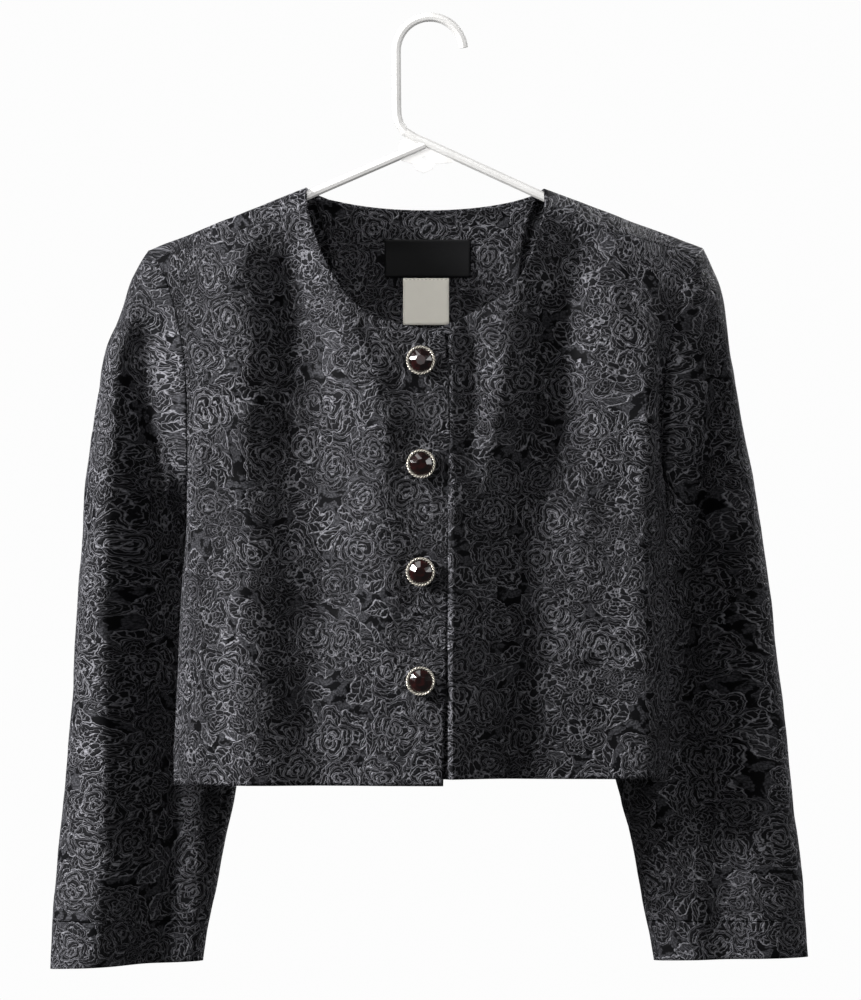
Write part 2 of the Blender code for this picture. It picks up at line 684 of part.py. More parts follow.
def arm_points(side, root, end_x):
    """An arm from its root to its tip under the shoulder, where it turns down a little."""
    neck_x, fall = (NECK_LEFT, FALL_LEFT) if side < 0 else (NECK_RIGHT, FALL_RIGHT)
    lean = math.hypot(1, fall)
    neck_z = ridge_z(neck_x) - (WALL * lean + ARM_SEAT + TUBE_RADIUS * lean)
    slope = (neck_z - root[1]) / abs(neck_x - root[0])
    end_z = root[1] + slope * abs(end_x - root[0])
    tilt = math.degrees(math.atan(slope))
    bend = arc((0, 0), TIP_BEND, 90 + tilt, 90 + tilt - TIP_TURN, 5)
    first = bend[0]
    return [root] + [(end_x + side * (x - first[0]), end_z + z - first[1]) for x, z in bend]


def add_hanger():
    """Hook, arms and web, joined into one moulding."""
    hook_centre = (0.0, TUBE_RADIUS - HOOK_RADIUS)
    hook = arc(hook_centre, HOOK_RADIUS, 5, 180, 22)
    first = hook + LEG_BEND
    right = arm_points(1, LEG_BEND[-1], ARM_END_RIGHT)
    left = arm_points(-1, ARM_ROOT, ARM_END_LEFT)
    hanger = tube("hanger", first + right[1:], TUBE_RADIUS)
    COLLECTIONS["evening_jacket"].objects.link(hanger)
    web = bpy.data.curves.new("web", "CURVE")
    web.dimensions = "2D"
    web.fill_mode = "BOTH"
    web.extrude = WEB_THICKNESS * 0.0005
    outline = web.splines.new("POLY")
    outline.points.add(len(WEB_OUTLINE) - 1)
    outline.use_cyclic_u = True
    for knot, (x, z) in zip(outline.points, WEB_OUTLINE):
        knot.co = (x * 0.001, z * 0.001, 0, 1)
    plate = as_mesh("web", web)
    plate.data.transform(Matrix.Rotation(math.radians(90), 4, "X"))
    hole = bmesh.new()
    bmesh.ops.create_cone(hole, cap_ends=True, segments=16, radius1=WEB_HOLE_RADIUS * 0.001,
                          radius2=WEB_HOLE_RADIUS * 0.001, depth=0.02)
    place = Matrix.Translation((WEB_HOLE[0] * 0.001, 0, WEB_HOLE[1] * 0.001))
    bmesh.ops.transform(hole, matrix=place @ Matrix.Rotation(math.radians(90), 4, "X"), verts=hole.verts)
    hole_mesh = bpy.data.meshes.new("hole")
    hole.to_mesh(hole_mesh)
    hole.free()
    steps = [
        ("UNION", tube("left_arm", left, TUBE_RADIUS)),
        ("UNION", plate),
        ("DIFFERENCE", bpy.data.objects.new("hole", hole_mesh)),
    ]
    for operation, cutter in steps:
        COLLECTIONS["cutters"].objects.link(cutter)
        cutter.hide_render = True
        cutter.display_type = "WIRE"
        change = hanger.modifiers.new(cutter.name, "BOOLEAN")
        change.operation = operation
        change.object = cutter
    hanger.data.materials.append(material("plastic"))


def main():
    left_front = front_rows(-1, TOP_PLACKET, TOP_NECK, True)
    right_front = front_rows(1, UNDER_PLACKET, UNDER_NECK, False)
    back = back_grids(left_front, right_front)
    panels = {
        "front_right": [left_front],
        "front_left": [right_front],
        "back": back,
        "sleeve_right": [sleeve_rows("sleeve_right", -1, SLEEVE_RIGHT)],
        "sleeve_left": [sleeve_rows("sleeve_left", 1, SLEEVE_LEFT)],
    }
    normals = shared_normals(panels)
    seams = seam_places(panels)
    made = {name: cloth_wall(name, grids, normals, seams) for name, grids in panels.items()}
    facing = surface_of(neck_facing(back[0], normals))
    for label in LABELS:
        add_label(label, facing)
    add_buttons(surface_of(made["front_right"]))
    add_hanger()


COLLECTIONS = start()
main()
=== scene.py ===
import math

import bmesh
import bpy
import numpy as np
from mathutils import Matrix, Vector
from mathutils.bvhtree import BVHTree
from mathutils.kdtree import KDTree


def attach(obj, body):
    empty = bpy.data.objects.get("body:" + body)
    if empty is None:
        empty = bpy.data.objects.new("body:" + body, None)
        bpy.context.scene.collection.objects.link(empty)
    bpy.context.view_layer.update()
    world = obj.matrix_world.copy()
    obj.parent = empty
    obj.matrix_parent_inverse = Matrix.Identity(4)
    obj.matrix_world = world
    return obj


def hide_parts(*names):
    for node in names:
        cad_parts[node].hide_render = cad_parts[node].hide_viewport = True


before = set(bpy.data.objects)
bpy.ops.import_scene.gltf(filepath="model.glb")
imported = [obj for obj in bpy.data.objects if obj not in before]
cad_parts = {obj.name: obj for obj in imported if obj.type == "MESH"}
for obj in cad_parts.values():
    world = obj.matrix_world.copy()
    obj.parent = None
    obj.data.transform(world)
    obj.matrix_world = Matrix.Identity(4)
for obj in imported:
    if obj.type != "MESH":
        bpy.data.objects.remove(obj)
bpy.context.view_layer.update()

bl_info = {
    "name": "Evening jacket",
    "version": (1, 0, 0),
    "blender": (4, 5, 0),
    "location": "3D View > Sidebar > Jacket",
    "description": "Dresses the evening jacket: jacquard cloth, jewelled buttons, labels, hanger",
    "category": "Object",
}

MM = 0.001

# Measures read against the photograph, in millimetres, in the frame's axes.
CENTRE_X = -7.4
BODY_DEPTH_Y = 4.0
BODY_HALF = (205.0, 50.0)
SLEEVE_HALF = (66.0, 27.0)

# Centre line of each sleeve from shoulder to cuff: height, x and y in millimetres.
SLEEVE_LINES = {
    "sleeve_right": ((-195, -238, 2), (-295, -226, 6), (-360, -218, 12), (-466, -215.5, 18),
                     (-557, -220, 22), (-640, -230, 22), (-721, -242, 19), (-776, -249, 17)),
    "sleeve_left": ((-195, 230, 2), (-295, 218, 6), (-360, 210, 12), (-466, 208.5, 18),
                    (-557, 214, 22), (-640, 226, 22), (-719, 239, 19), (-771, 247, 17)),
}


# ---------------------------------------------------------------- sizes and colours

def colour_of(name, purpose, default):
    """A colour setting."""
    return bpy.props.FloatVectorProperty(name=name, description=purpose, subtype="COLOR", size=3,
                                         min=0.0, max=1.0, default=default)


class ClothSettings(bpy.types.PropertyGroup):
    ground: colour_of("Ground", "Colour of the satin ground", (0.005, 0.005, 0.0062))
    thread: colour_of(
        "Outline thread", "Colour of the raised outline threads", (0.60, 0.595, 0.65))
    petal: colour_of("Petal", "Colour of the woven petals and leaves", (0.017, 0.017, 0.0195))
    patch: colour_of(
        "Filled patch", "Colour of the small filled patches", (0.105, 0.105, 0.117))
    flower: bpy.props.FloatProperty(
        name="Flower spacing", description="Distance from one flower to the next",
        default=0.037, min=0.01, unit="LENGTH")
    relief: bpy.props.FloatProperty(
        name="Relief", description="Height of the raised threads", default=0.0013, min=0.0,
        unit="LENGTH")
    fold_depth: bpy.props.FloatProperty(
        name="Fold depth", description="How deep the hanging folds are against those measured",
        default=1.0, min=0.0, max=2.0, subtype="FACTOR")


class ButtonSettings(bpy.types.PropertyGroup):
    notches: bpy.props.IntProperty(
        name="Rope turns", description="Turns of the roped rim", default=28, min=8, max=60)
    gilt: colour_of("Gilt", "Colour of the pale gilt rim", (0.92, 0.86, 0.75))
    garnet: colour_of("Stone", "Colour of the dark faceted stone", (0.012, 0.0028, 0.0026))


class TrimSettings(bpy.types.PropertyGroup):
    ribbon: colour_of("Woven label", "Colour of the black satin label", (0.006, 0.006, 0.007))
    tape: colour_of("Care tag", "Colour of the pale care tag", (0.78, 0.75, 0.67))
    plastic: colour_of("Hanger", "Colour of the moulded hanger", (0.86, 0.85, 0.835))
    stitch: bpy.props.FloatProperty(
        name="Stitch length", description="Length of one sewing stitch", default=0.0021,
        min=0.001, unit="LENGTH")


class StageSettings(bpy.types.PropertyGroup):
    distance: bpy.props.FloatProperty(
        name="Camera distance", description="From the lens to the jacket's front", default=8.0,
        min=0.5, unit="LENGTH")
    floor: colour_of("Floor", "Colour of the plain floor", (0.86, 0.86, 0.86))
    key: bpy.props.FloatProperty(
        name="Key light", description="Power of the soft light from the upper left", default=62.0,
        min=0.0, unit="POWER")


# ---------------------------------------------------------------- procedural materials

class Graph:
    """Writes a material's nodes in plain sums, so a pattern reads like the rule it follows."""

    def __init__(self, material):
        self.tree = material.node_tree
        self.shader = self.tree.nodes["Principled BSDF"]

    def node(self, kind, **values):
        made = self.tree.nodes.new(kind)
        for key, value in values.items():
            setattr(made, key, value)
        return made

    def put(self, socket, value):
        if isinstance(value, Field):
            self.tree.links.new(value.socket, socket)
        else:
            socket.default_value = value

    def fill(self, made, **values):
        """Sets a node's sockets by name, with an underscore for a space."""
        for name, value in values.items():
            self.put(made.inputs[name.replace("_", " ")], value)

    def maths(self, operation, *values, clamp=False):
        made = self.node("ShaderNodeMath", operation=operation, use_clamp=clamp)
        for socket, value in zip(made.inputs, values):
            self.put(socket, value)
        return Field(self, made.outputs[0])

    def vector(self, operation, *values):
        made = self.node("ShaderNodeVectorMath", operation=operation)
        for socket, value in zip(made.inputs, values):
            self.put(socket, value)
        return Field(self, made.outputs["Vector"])

    def split(self, value):
        made = self.node("ShaderNodeSeparateXYZ")
        self.put(made.inputs[0], value)
        return [Field(self, socket) for socket in made.outputs]

    def uv(self, name):
        return Field(self, self.node("ShaderNodeUVMap", uv_map=name).outputs[0])

    def measure(self, name):
        """A value that the mesh itself carries."""
        return Field(self, self.node("ShaderNodeAttribute", attribute_name=name).outputs["Fac"])

    def place(self):
        return Field(self, self.node("ShaderNodeTexCoord").outputs["Object"])

    def noise(self, where, scale, detail=2.0, roughness=0.5, colour=False):
        made = self.node("ShaderNodeTexNoise", noise_dimensions="3D")
        self.fill(made, Vector=where, Scale=scale, Detail=detail, Roughness=roughness)
        return Field(self, made.outputs["Color" if colour else "Fac"])

    def cells(self, where, jitter=1.0):
        """Cells one unit apart: distance to the centre, a random colour, and the centre."""
        made = self.node("ShaderNodeTexVoronoi", voronoi_dimensions="2D", feature="F1")
        self.fill(made, Vector=where, Scale=1.0, Randomness=jitter)
        return (Field(self, made.outputs["Distance"]), Field(self, made.outputs["Color"]),
                Field(self, made.outputs["Position"]))

    def mix(self, share, first, second):
        made = self.node("ShaderNodeMix", data_type="RGBA")
        self.put(made.inputs["Factor"], share)
        for socket, value in ((made.inputs[6], first), (made.inputs[7], second)):
            self.put(socket, value if isinstance(value, Field) else (*value, 1.0))
        return Field(self, made.outputs[2])

    def bump(self, height, distance, strength=1.0):
        made = self.node("ShaderNodeBump")
        self.fill(made, Strength=strength, Distance=distance, Height=height)
        return Field(self, made.outputs[0])

    def shade(self, **values):
        """Sets the shader's sockets by name; a Field is linked and a number stays on the socket."""
        for name, value in values.items():
            socket = self.shader.inputs[name.replace("_", " ")]
            if socket.type == "RGBA" and not isinstance(value, Field):
                value = (*value, 1.0)
            self.put(socket, value)


class Field:
    """One value over the surface, with arithmetic that adds Math nodes."""

    def __init__(self, graph, socket):
        self.graph = graph
        self.socket = socket

    def __add__(self, other):
        return self.graph.maths("ADD", self, other)

    def __sub__(self, other):
        return self.graph.maths("SUBTRACT", self, other)

    def __rsub__(self, other):
        return self.graph.maths("SUBTRACT", other, self)

    def __mul__(self, other):
        return self.graph.maths("MULTIPLY", self, other)

    def __truediv__(self, other):
        return self.graph.maths("DIVIDE", self, other)

    def __gt__(self, other):
        return self.graph.maths("GREATER_THAN", self, other)

    def __lt__(self, other):
        return self.graph.maths("LESS_THAN", self, other)

    def __abs__(self):
        return self.graph.maths("ABSOLUTE", self)

    __radd__ = __add__
    __rmul__ = __mul__

    def part(self):
        """The fraction left after whole numbers are taken away."""
        return self.graph.maths("FRACT", self)

    def up_to(self, other):
        return self.graph.maths("MINIMUM", self, other)

    def at_least(self, other):
        return self.graph.maths("MAXIMUM", self, other)

    def near(self, width):
        """1 where the value is 0, falling to 0 at the width."""
        return self.graph.maths("SUBTRACT", 1.0, abs(self) / width, clamp=True)

    def step(self, low, high):
        """0 below low, 1 above high, and a smooth slope between."""
        made = self.graph.node("ShaderNodeMapRange", interpolation_type="SMOOTHSTEP")
        self.graph.fill(made, Value=self, From_Min=low, From_Max=high)
        return Field(self.graph, made.outputs[0])


def darker(colour, share):
    """A share of a colour."""
    return tuple(value * share for value in colour)


def new_material(name):
    """A material with one Principled BSDF and its graph helper."""
    made = bpy.data.materials.new(name)
    made.use_nodes = True
    return made, Graph(made)


# One row for each ring of petals in a flower. Count: petals round the ring. Size: its outer
# radius against the flower's spacing. Scallop: how far the petals' tips stand past the gaps
# between them. Contour: the distance between lines that follow the petal's edge. Veins: vein
# lines in each petal.
ROSE_RINGS = ((2, 0.14, 0.40, 0.070, 0), (3, 0.29, 0.34, 0.075, 0), (4, 0.45, 0.32, 0.080, 1),
              (5, 0.66, 0.34, 0.090, 2))
DAISY_RINGS = ((4, 0.10, 0.20, 0.05, 0), (6, 0.22, 0.34, 0.0, 0), (5, 0.62, 0.46, 0.085, 2))
RING_TURN = 1.7
PETAL_ROUNDNESS = 0.6
VEIN_END, VEIN_THINNESS, VEIN_INSET = 0.86, 1.4, 0.004
# Leaves: their spacing against the flowers', half length and width, and their veins' slant,
# spacing and inset.
LEAF_CELL = 0.56
LEAF_HALF = (0.64, 0.33)
LEAF_SLANT = (5.0, 4.0)
LEAF_VEIN, LEAF_VEIN_INSET = 0.15, 0.01
# Drawn line's half width against the flowers' spacing, and the width of the painted shadow beside
# it against the line.
LINE = 0.0185
SHADOW_WIDTH = 2.3
FAR = 1.0
# How noise bends the drawing: features to a metre, its detail, and the reach of the shift in
# metres from one end to the other.
DRIFT = (34.0, 1.0, 0.020)
SHIVER = (190.0, 2.0, 0.0062)
# The flowers' unevenness: how freely they lie, their least size and how much more they grow.
FLOWER_JITTER, FLOWER_LEAST, FLOWER_GROWTH = 0.82, 0.78, 0.35
# Flowers with a kind above the first are daisies, and leaves above the second are filled.
ROSE_SHARE, LEAF_FILLED = 0.70, 0.7
# Noise over the cloth, in features to a metre.
UNEVEN, BLOTS, SPECKLE, THREAD, DAPPLE, WEAVE = 240.0, 130.0, 620.0, 900.0, 14.0, 700.0
# Half the width of the pressed line at a seam in metres, and the height of the turn-ups' line.
SEAM_WELT = 0.0009
CUFF_LINE = -0.7405


def flower_lines(graph, radius, angle, rings):
    """Distance to the nearest drawn line of a flower, its outer edge and its petals' fullness."""
    nearest = FAR
    inside = 0.0
    puff = 0.0
    for turn, (count, size, scallop, contour, veins) in enumerate(rings):
        half = (angle + RING_TURN * turn) * (count / 2)
        wave = abs(graph.maths("SINE", half))
        lobe = graph.maths("POWER", wave, PETAL_ROUNDNESS)
        edge = lobe * (size * scallop) + size * (1 - scallop)
        beyond = (radius < inside) if isinstance(inside, Field) else 0.0
        outline = abs(radius - edge)
        between = radius * wave * (2.0 / count)
        away = beyond + (radius > edge)
        nearest = outline if nearest is FAR else outline.up_to(nearest)
        nearest = (between + away).up_to(nearest)
        if contour:
            nested = abs(((edge - radius) / contour).part() - 0.5) * contour
            nearest = (nested + away + VEIN_INSET).up_to(nearest)
        if veins:
            spread = abs(graph.maths("SINE", half * (2 * veins + 1)))
            vein = radius * spread * (2.0 / count / (2 * veins + 1))
            short = radius > edge * VEIN_END
            nearest = (vein * VEIN_THINNESS + beyond + short + VEIN_INSET).up_to(nearest)
        puff = lobe
        inside = edge
    return nearest, inside, puff


def leaf_lines(graph, where):
    """Distance to the nearest line of the leaves, 1 where no leaf lies, and the leaf's kind."""
    _, shade, centre = graph.cells(where)
    turned, _, kind = graph.split(shade)
    x, y, _ = graph.split(graph.vector("SUBTRACT", where, centre))
    angle = turned * (2 * math.pi)
    cosine = graph.maths("COSINE", angle)
    sine = graph.maths("SINE", angle)
    along = x * cosine + y * sine
    across = abs(y * cosine - x * sine)
    form = across / LEAF_HALF[1] + along * along / (LEAF_HALF[0] ** 2)
    outline = abs(form - 1.0) * (LEAF_HALF[1] * 0.8)
    outer = form > 1.0
    slanted = along * LEAF_SLANT[0] - across * LEAF_SLANT[1]
    veins = abs((slanted.part() - 0.5) * LEAF_VEIN) + LEAF_VEIN_INSET
    nearest = (outline.up_to(across + outer)).up_to(veins + outer) * LEAF_CELL
    return nearest, outer, kind


def bend(graph, cloth, where, rule):
    """Shifts a place by noise of the given fineness, detail and reach."""
    fineness, detail, reach = rule
    noise = graph.noise(cloth, fineness, detail, colour=True)
    shift = graph.vector("SUBTRACT", noise, (0.5, 0.5, 0.5))
    return graph.vector("ADD", where, graph.vector("MULTIPLY", shift, (reach, reach, 0.0)))


def jacquard_material(settings):
    """Floral jacquard: raised outline threads on satin petals, leaves and filled patches, with
    painted shadow beside the threads.
    """
    material, graph = new_material("floral jacquard")
    cloth = graph.uv("cloth")
    bent = bend(graph, cloth, bend(graph, cloth, cloth, DRIFT), SHIVER)
    spacing = settings.flower
    where = graph.vector("MULTIPLY", bent, (1 / spacing, 1 / spacing, 0.0))
    _, shade, centre = graph.cells(where, jitter=FLOWER_JITTER)
    turned, kind, growth = graph.split(shade)
    x, y, _ = graph.split(graph.vector("SUBTRACT", where, centre))
    reach = graph.maths("SQRT", x * x + y * y) / (growth * FLOWER_GROWTH + FLOWER_LEAST)
    angle = graph.maths("ARCTAN2", y, x) + turned * (2 * math.pi)
    rose, rose_edge, rose_puff = flower_lines(graph, reach, angle, ROSE_RINGS)
    daisy, daisy_edge, daisy_puff = flower_lines(graph, reach, angle, DAISY_RINGS)
    is_daisy = kind > ROSE_SHARE
    is_rose = 1.0 - is_daisy
    flower = rose * is_rose + daisy * is_daisy
    edge = rose_edge * is_rose + daisy_edge * is_daisy
    puff = rose_puff * is_rose + daisy_puff * is_daisy
    outside = reach > edge
    finer = 1 / spacing / LEAF_CELL
    leaf_where = graph.vector("MULTIPLY", bent, (finer, finer, 0.0))
    leaf, off_leaf, leaf_kind = leaf_lines(graph, leaf_where)
    nearest = flower.up_to(leaf + (1.0 - outside))
    uneven = graph.noise(cloth, UNEVEN, 2.0)
    line = (nearest + (uneven - 0.5) * (LINE * 1.1)).near(LINE)
    painted_shadow = nearest.near(LINE * SHADOW_WIDTH)
    gap = outside * off_leaf
    blots = graph.noise(bent, BLOTS, 3.0).step(0.46, 0.52)
    leaf_fill = outside * (1.0 - off_leaf) * (leaf_kind > LEAF_FILLED)
    speckle = graph.noise(cloth, SPECKLE, 1.0).step(0.40, 0.62)
    patch = (gap * blots).at_least(leaf_fill * 0.85) * (speckle * 0.75 + 0.25)
    thread = graph.noise(graph.vector("MULTIPLY", cloth, (1.0, 5.0, 1.0)), THREAD, 2.0, 0.6)
    dapple = graph.noise(cloth, DAPPLE, 2.0)
    ground = graph.mix(gap * (1.0 - blots), settings.petal, settings.ground)
    ground = graph.mix(patch, ground, settings.patch)
    # Painted shadow: the ground is darkened in a band beside each raised thread.
    ground = graph.mix(painted_shadow * 0.7, ground, darker(settings.ground, 0.35))
    cuff = (graph.split(graph.place())[2] - CUFF_LINE).near(SEAM_WELT)
    seam = (graph.split(cloth)[0] - SEAM_WELT).near(SEAM_WELT).at_least(cuff)
    ground = graph.mix(seam * 0.8, ground, darker(settings.ground, 0.3))
    bright = (thread * 0.9 + 0.45) * line * (dapple + 0.4)
    colour = graph.mix(graph.maths("MINIMUM", bright, 1.0, clamp=True), ground, settings.thread)
    weave = graph.noise(graph.vector("MULTIPLY", cloth, (6.0, 1.0, 1.0)), WEAVE, 1.0)
    height = (line - painted_shadow * 0.45 + puff * 0.25 * (1.0 - outside) + weave * 0.12 + patch * 0.2
              - seam * 1.4)
    normal = graph.bump(height, settings.relief, 1.0)
    graph.shade(Base_Color=colour, Roughness=0.62 - line * 0.16 - patch * 0.12, Normal=normal)
    graph.shade(Sheen_Weight=0.03, Sheen_Roughness=0.4, Sheen_Tint=(0.82, 0.84, 1.0),
                Specular_IOR_Level=0.1)
    return material


def gilt_material(settings):
    """Pale gilt metal, cloudy with wear, with painted shade in the hollows of the rope."""
    material, graph = new_material("pale gilt")
    place = graph.place()
    cloud = graph.noise(place, 420.0, 3.0)
    speck = graph.noise(place, 2600.0, 1.0)
    colour = graph.mix(cloud.step(0.42, 0.72), settings.gilt, darker(settings.gilt, 0.55))
    # Painted shade: the colour is darkened where the rope's turns dip into hollows.
    hollow_and_shade = graph.measure("hollow_and_shade").step(0.25, 0.75)
    colour = graph.mix(hollow_and_shade, colour, darker(settings.gilt, 0.1))
    graph.shade(Base_Color=colour, Roughness=cloud * 0.2 + 0.2, Metallic=0.55,
                Normal=graph.bump(speck, 0.00004, 0.4))
    return material


def garnet_material(settings):
    """Very dark polished stone: facets with a faint red depth and fine rubbing marks."""
    material, graph = new_material("dark garnet")
    place = graph.place()
    depth = graph.noise(place, 240.0, 2.0)
    rich = tuple(value * factor for value, factor in zip(settings.garnet, (3.2, 2.0, 2.0)))
    graph.shade(Base_Color=graph.mix(depth.step(0.4, 0.7), settings.garnet, rich),
                Roughness=graph.noise(place, 900.0, 2.0) * 0.08 + 0.07,
                Coat_Weight=0.6, Coat_Roughness=0.04, IOR=1.62)
    return material


def ribbon_material(settings):
    """Black woven label: fine crosswise ribs and a slight shine."""
    material, graph = new_material("black woven label")
    across, along, _ = graph.split(graph.uv("cloth"))
    rib = abs((along * 1500.0).part() - 0.5) * 2.0
    warp = abs((across * 1900.0).part() - 0.5) * 2.0
    slub = graph.noise(graph.uv("cloth"), 260.0, 2.0)
    colour = graph.mix(rib * 0.5 + slub * 0.3, settings.ribbon, (0.021, 0.021, 0.024))
    normal = graph.bump(rib * 0.7 + warp * 0.3, 0.0001, 0.6)
    graph.shade(Base_Color=colour, Roughness=0.5 - slub * 0.12, Normal=normal, Sheen_Weight=0.15)
    return material


def tape_material(settings):
    """Pale woven tape of the care tag: plain weave, slightly cloudy and uneven."""
    material, graph = new_material("pale woven tape")
    across, along, _ = graph.split(graph.uv("cloth"))
    warp = abs((across * 1700.0).part() - 0.5)
    weft = abs((along * 1700.0).part() - 0.5)
    cloud = graph.noise(graph.uv("cloth"), 75.0, 2.0)
    woven = cloud * 0.5 + warp * 0.35 + weft * 0.35
    colour = graph.mix(woven, settings.tape, darker(settings.tape, 0.84))
    normal = graph.bump(warp + weft + cloud * 1.5, 0.0002, 0.5)
    graph.shade(Base_Color=colour, Roughness=0.82, Normal=normal)
    return material


def plastic_material(settings):
    """Moulded white plastic: glossy, with faint flow marks and rubbed patches."""
    material, graph = new_material("moulded white plastic")
    place = graph.place()
    flow = graph.noise(graph.vector("MULTIPLY", place, (1.0, 1.0, 0.4)), 60.0, 2.0)
    rub = graph.noise(place, 330.0, 2.0)
    shade = darker(settings.plastic, 0.93)
    graph.shade(Base_Color=graph.mix(flow.step(0.35, 0.75), settings.plastic, shade),
                Roughness=rub * 0.16 + 0.2, Normal=graph.bump(flow, 0.0004, 0.25),
                Subsurface_Weight=0.08, Subsurface_Radius=(0.004, 0.004, 0.004))
    return material


def sewing_material(settings):
    """Sewing thread: finely twisted and as dark as the cloth."""
    material, graph = new_material("sewing thread")
    place = graph.place()
    twist = graph.noise(graph.vector("MULTIPLY", place, (1.0, 1.0, 3.0)), 2200.0, 1.0)
    colour = graph.mix(twist, (0.012, 0.012, 0.014), (0.05, 0.05, 0.056))
    graph.shade(Base_Color=colour, Roughness=0.6, Normal=graph.bump(twist, 0.0001, 0.6))
    return material


# ---------------------------------------------------------------- cloth pieces

# Each cloth piece: its node, the number of times its faces are split, the width and length of
# its cut, its cut area and what it hangs from.
CLOTH_PIECES = (
    ("front_right", 3, 0.262, 0.500, 0.100, ("hanger",)),
    ("front_left", 3, 0.268, 0.500, 0.100, ("hanger",)),
    ("back", 2, 0.500, 0.545, 0.215, ("hanger",)),
    ("sleeve_right", 3, 0.335, 0.600, 0.160, ("front_right", "back")),
    ("sleeve_left", 3, 0.335, 0.600, 0.160, ("front_left", "back")),
    ("neck_facing", 2, 0.250, 0.135, 0.022, ("back",)),
)

# Finer folds than the solids hold, under the piece and side they show on. Each one's ends as x, z
# in millimetres, its half width and its rise towards the outside.
FOLDS = {
    "front_right front": (
        ((-117, -213), (-128, -344), 15, -2.5), ((-128, -344), (-112, -580), 16, -2.5),
        ((-90, -203), (-30, -330), 11, 2.0), ((-55, -252), (-2, -339), 4, -1.8),
        ((-20, -430), (-45, -560), 12, 1.6), ((-165, -430), (-150, -600), 12, 1.6),
        ((-90, -470), (-60, -610), 14, -1.4), ((-190, -330), (-140, -300), 8, -1.5),
        ((-12, -528), (14, -518), 4, -1.2),
    ),
    "front_left front": (
        ((98, -170), (96, -257), 12, -2.2), ((92, -262), (52, -421), 15, -2.6),
        ((118, -213), (139, -289), 15, 2.2), ((139, -295), (118, -560), 16, 2.0),
        ((57, -450), (60, -612), 18, -2.4), ((104, -541), (168, -514), 5, -1.6),
        ((150, -215), (170, -236), 7, -2.2), ((178, -380), (170, -600), 10, -1.8),
        ((30, -390), (26, -520), 9, 1.4),
    ),
    "back rear": (
        ((-112, -230), (-96, -600), 15, -2.4), ((-40, -280), (-30, -600), 16, 2.0),
        ((70, -220), (62, -560), 14, -2.4), ((128, -330), (120, -610), 14, 1.8),
        ((-150, -300), (-90, -360), 6, -1.6), ((150, -310), (100, -380), 6, -1.6),
    ),
    "sleeve_right front": (
        ((-248, -212), (-236, -330), 7, 2.0), ((-268, -300), (-250, -470), 9, -2.6),
        ((-228, -440), (-226, -640), 11, -2.2), ((-196, -440), (-186, -610), 9, 1.8),
        ((-258, -560), (-270, -740), 10, 1.6), ((-206, -520), (-168, -548), 5, -1.8),
    ),
    "sleeve_right rear": (
        ((-235, -300), (-232, -520), 13, -2.6), ((-205, -520), (-236, -700), 11, 2.0),
        ((-270, -500), (-282, -720), 10, -1.8),
    ),
    "sleeve_left front": (
        ((240, -212), (229, -330), 7, 2.0), ((262, -300), (243, -470), 9, -2.6),
        ((222, -440), (224, -640), 11, -2.2), ((190, -440), (180, -610), 9, 1.8),
        ((254, -560), (268, -740), 10, 1.6), ((200, -520), (162, -548), 5, -1.8),
    ),
    "sleeve_left rear": (
        ((228, -300), (226, -520), 13, -2.6), ((200, -520), (232, -700), 11, 2.0),
        ((264, -500), (280, -720), 10, -1.8),
    ),
}

# Broad slopes that turn the cloth towards the light or away from it, under piece and side. Each
# one's middle line as x, z points in millimetres, its half width, and the slope, which is
# positive where the cloth rises towards the right.
SLOPES = {
    "front_right front": (
        (((-200, -320), (-204, -610)), 13, 0.44),
        (((-136, -205), (-128, -290), (-125, -420), (-121, -640)), 24, -0.66),
        (((-96, -200), (-74, -270), (-58, -350), (-60, -470)), 24, 0.34),
        (((-62, -500), (-64, -600)), 15, -0.21),
        (((-96, -470), (-92, -640)), 26, -0.26),
    ),
    "front_left front": (
        (((23, -266), (22, -640)), 12, -0.85),
        (((102, -180), (94, -262), (76, -336), (54, -405), (44, -476), (44, -640)),
         21, -0.72),
        (((124, -250), (124, -420), (114, -640)), 34, 0.46),
        (((160, -300), (160, -420), (156, -640)), 24, 0.52),
        (((184, -300), (182, -430), (184, -640)), 12, -0.80),
        (((165, -205), (192, -218)), 9, -0.29),
    ),
    "back rear": (
        (((-150, -260), (-142, -610)), 22, 0.47),
        (((-62, -250), (-70, -610)), 26, -0.34),
        (((30, -300), (36, -610)), 26, 0.31),
        (((122, -240), (118, -610)), 22, -0.49),
    ),
    "sleeve_right front": (
        (((-250, -270), (-243, -420), (-243, -610), (-256, -800)), 22, -1.22),
        (((-205, -640), (-214, -800)), 14, 0.29),
    ),
    "sleeve_right rear": (
        (((-232, -300), (-230, -560), (-250, -800)), 18, 0.55),
    ),
    "sleeve_left front": (
        (((202, -290), (199, -640)), 17, -1.30),
        (((250, -300), (252, -560), (268, -800)), 19, 0.44),
        (((222, -660), (232, -800)), 13, -0.29),
    ),
    "sleeve_left rear": (
        (((226, -300), (226, -560), (248, -800)), 18, -0.55),
    ),
}

# Soft unevenness of hung cloth: wavelengths in millimetres along x and z, a turn and the rise,
# and how far the waves along z push those along x.
RIPPLES = ((61.0, 143.0, 0.4, 0.55), (37.0, 88.0, 2.1, 0.35), (23.0, 47.0, 4.4, 0.22))
RIPPLE_SWAY = 1.3
# How far round the side a fold dies away, as a share of the outward way.
SIDE_FADE = 0.35
# Pieces that seams join, how near a seam counts as sewn, and how far its stillness reaches.
SEWN = ("front_right", "front_left", "back", "sleeve_right", "sleeve_left")
SEAM_REACH, SEAM_FADE = 1.2, 13.0
# The right front lies flat under the buttons (its x and half width) and up to its edge.
BUTTON_STRIP = (-7.4, 15.0)
OVERLAP_END = 8.0
# The left front lies flat up to this x, and moves freely this much further on.
UNDERLAP = (12.0, 6.0)
# The back lies flat behind the neck facing and its labels, down to this height.
FACING_LOW, FACING_HALF, FACING_FADE = -300.0, 135.0, 22.0


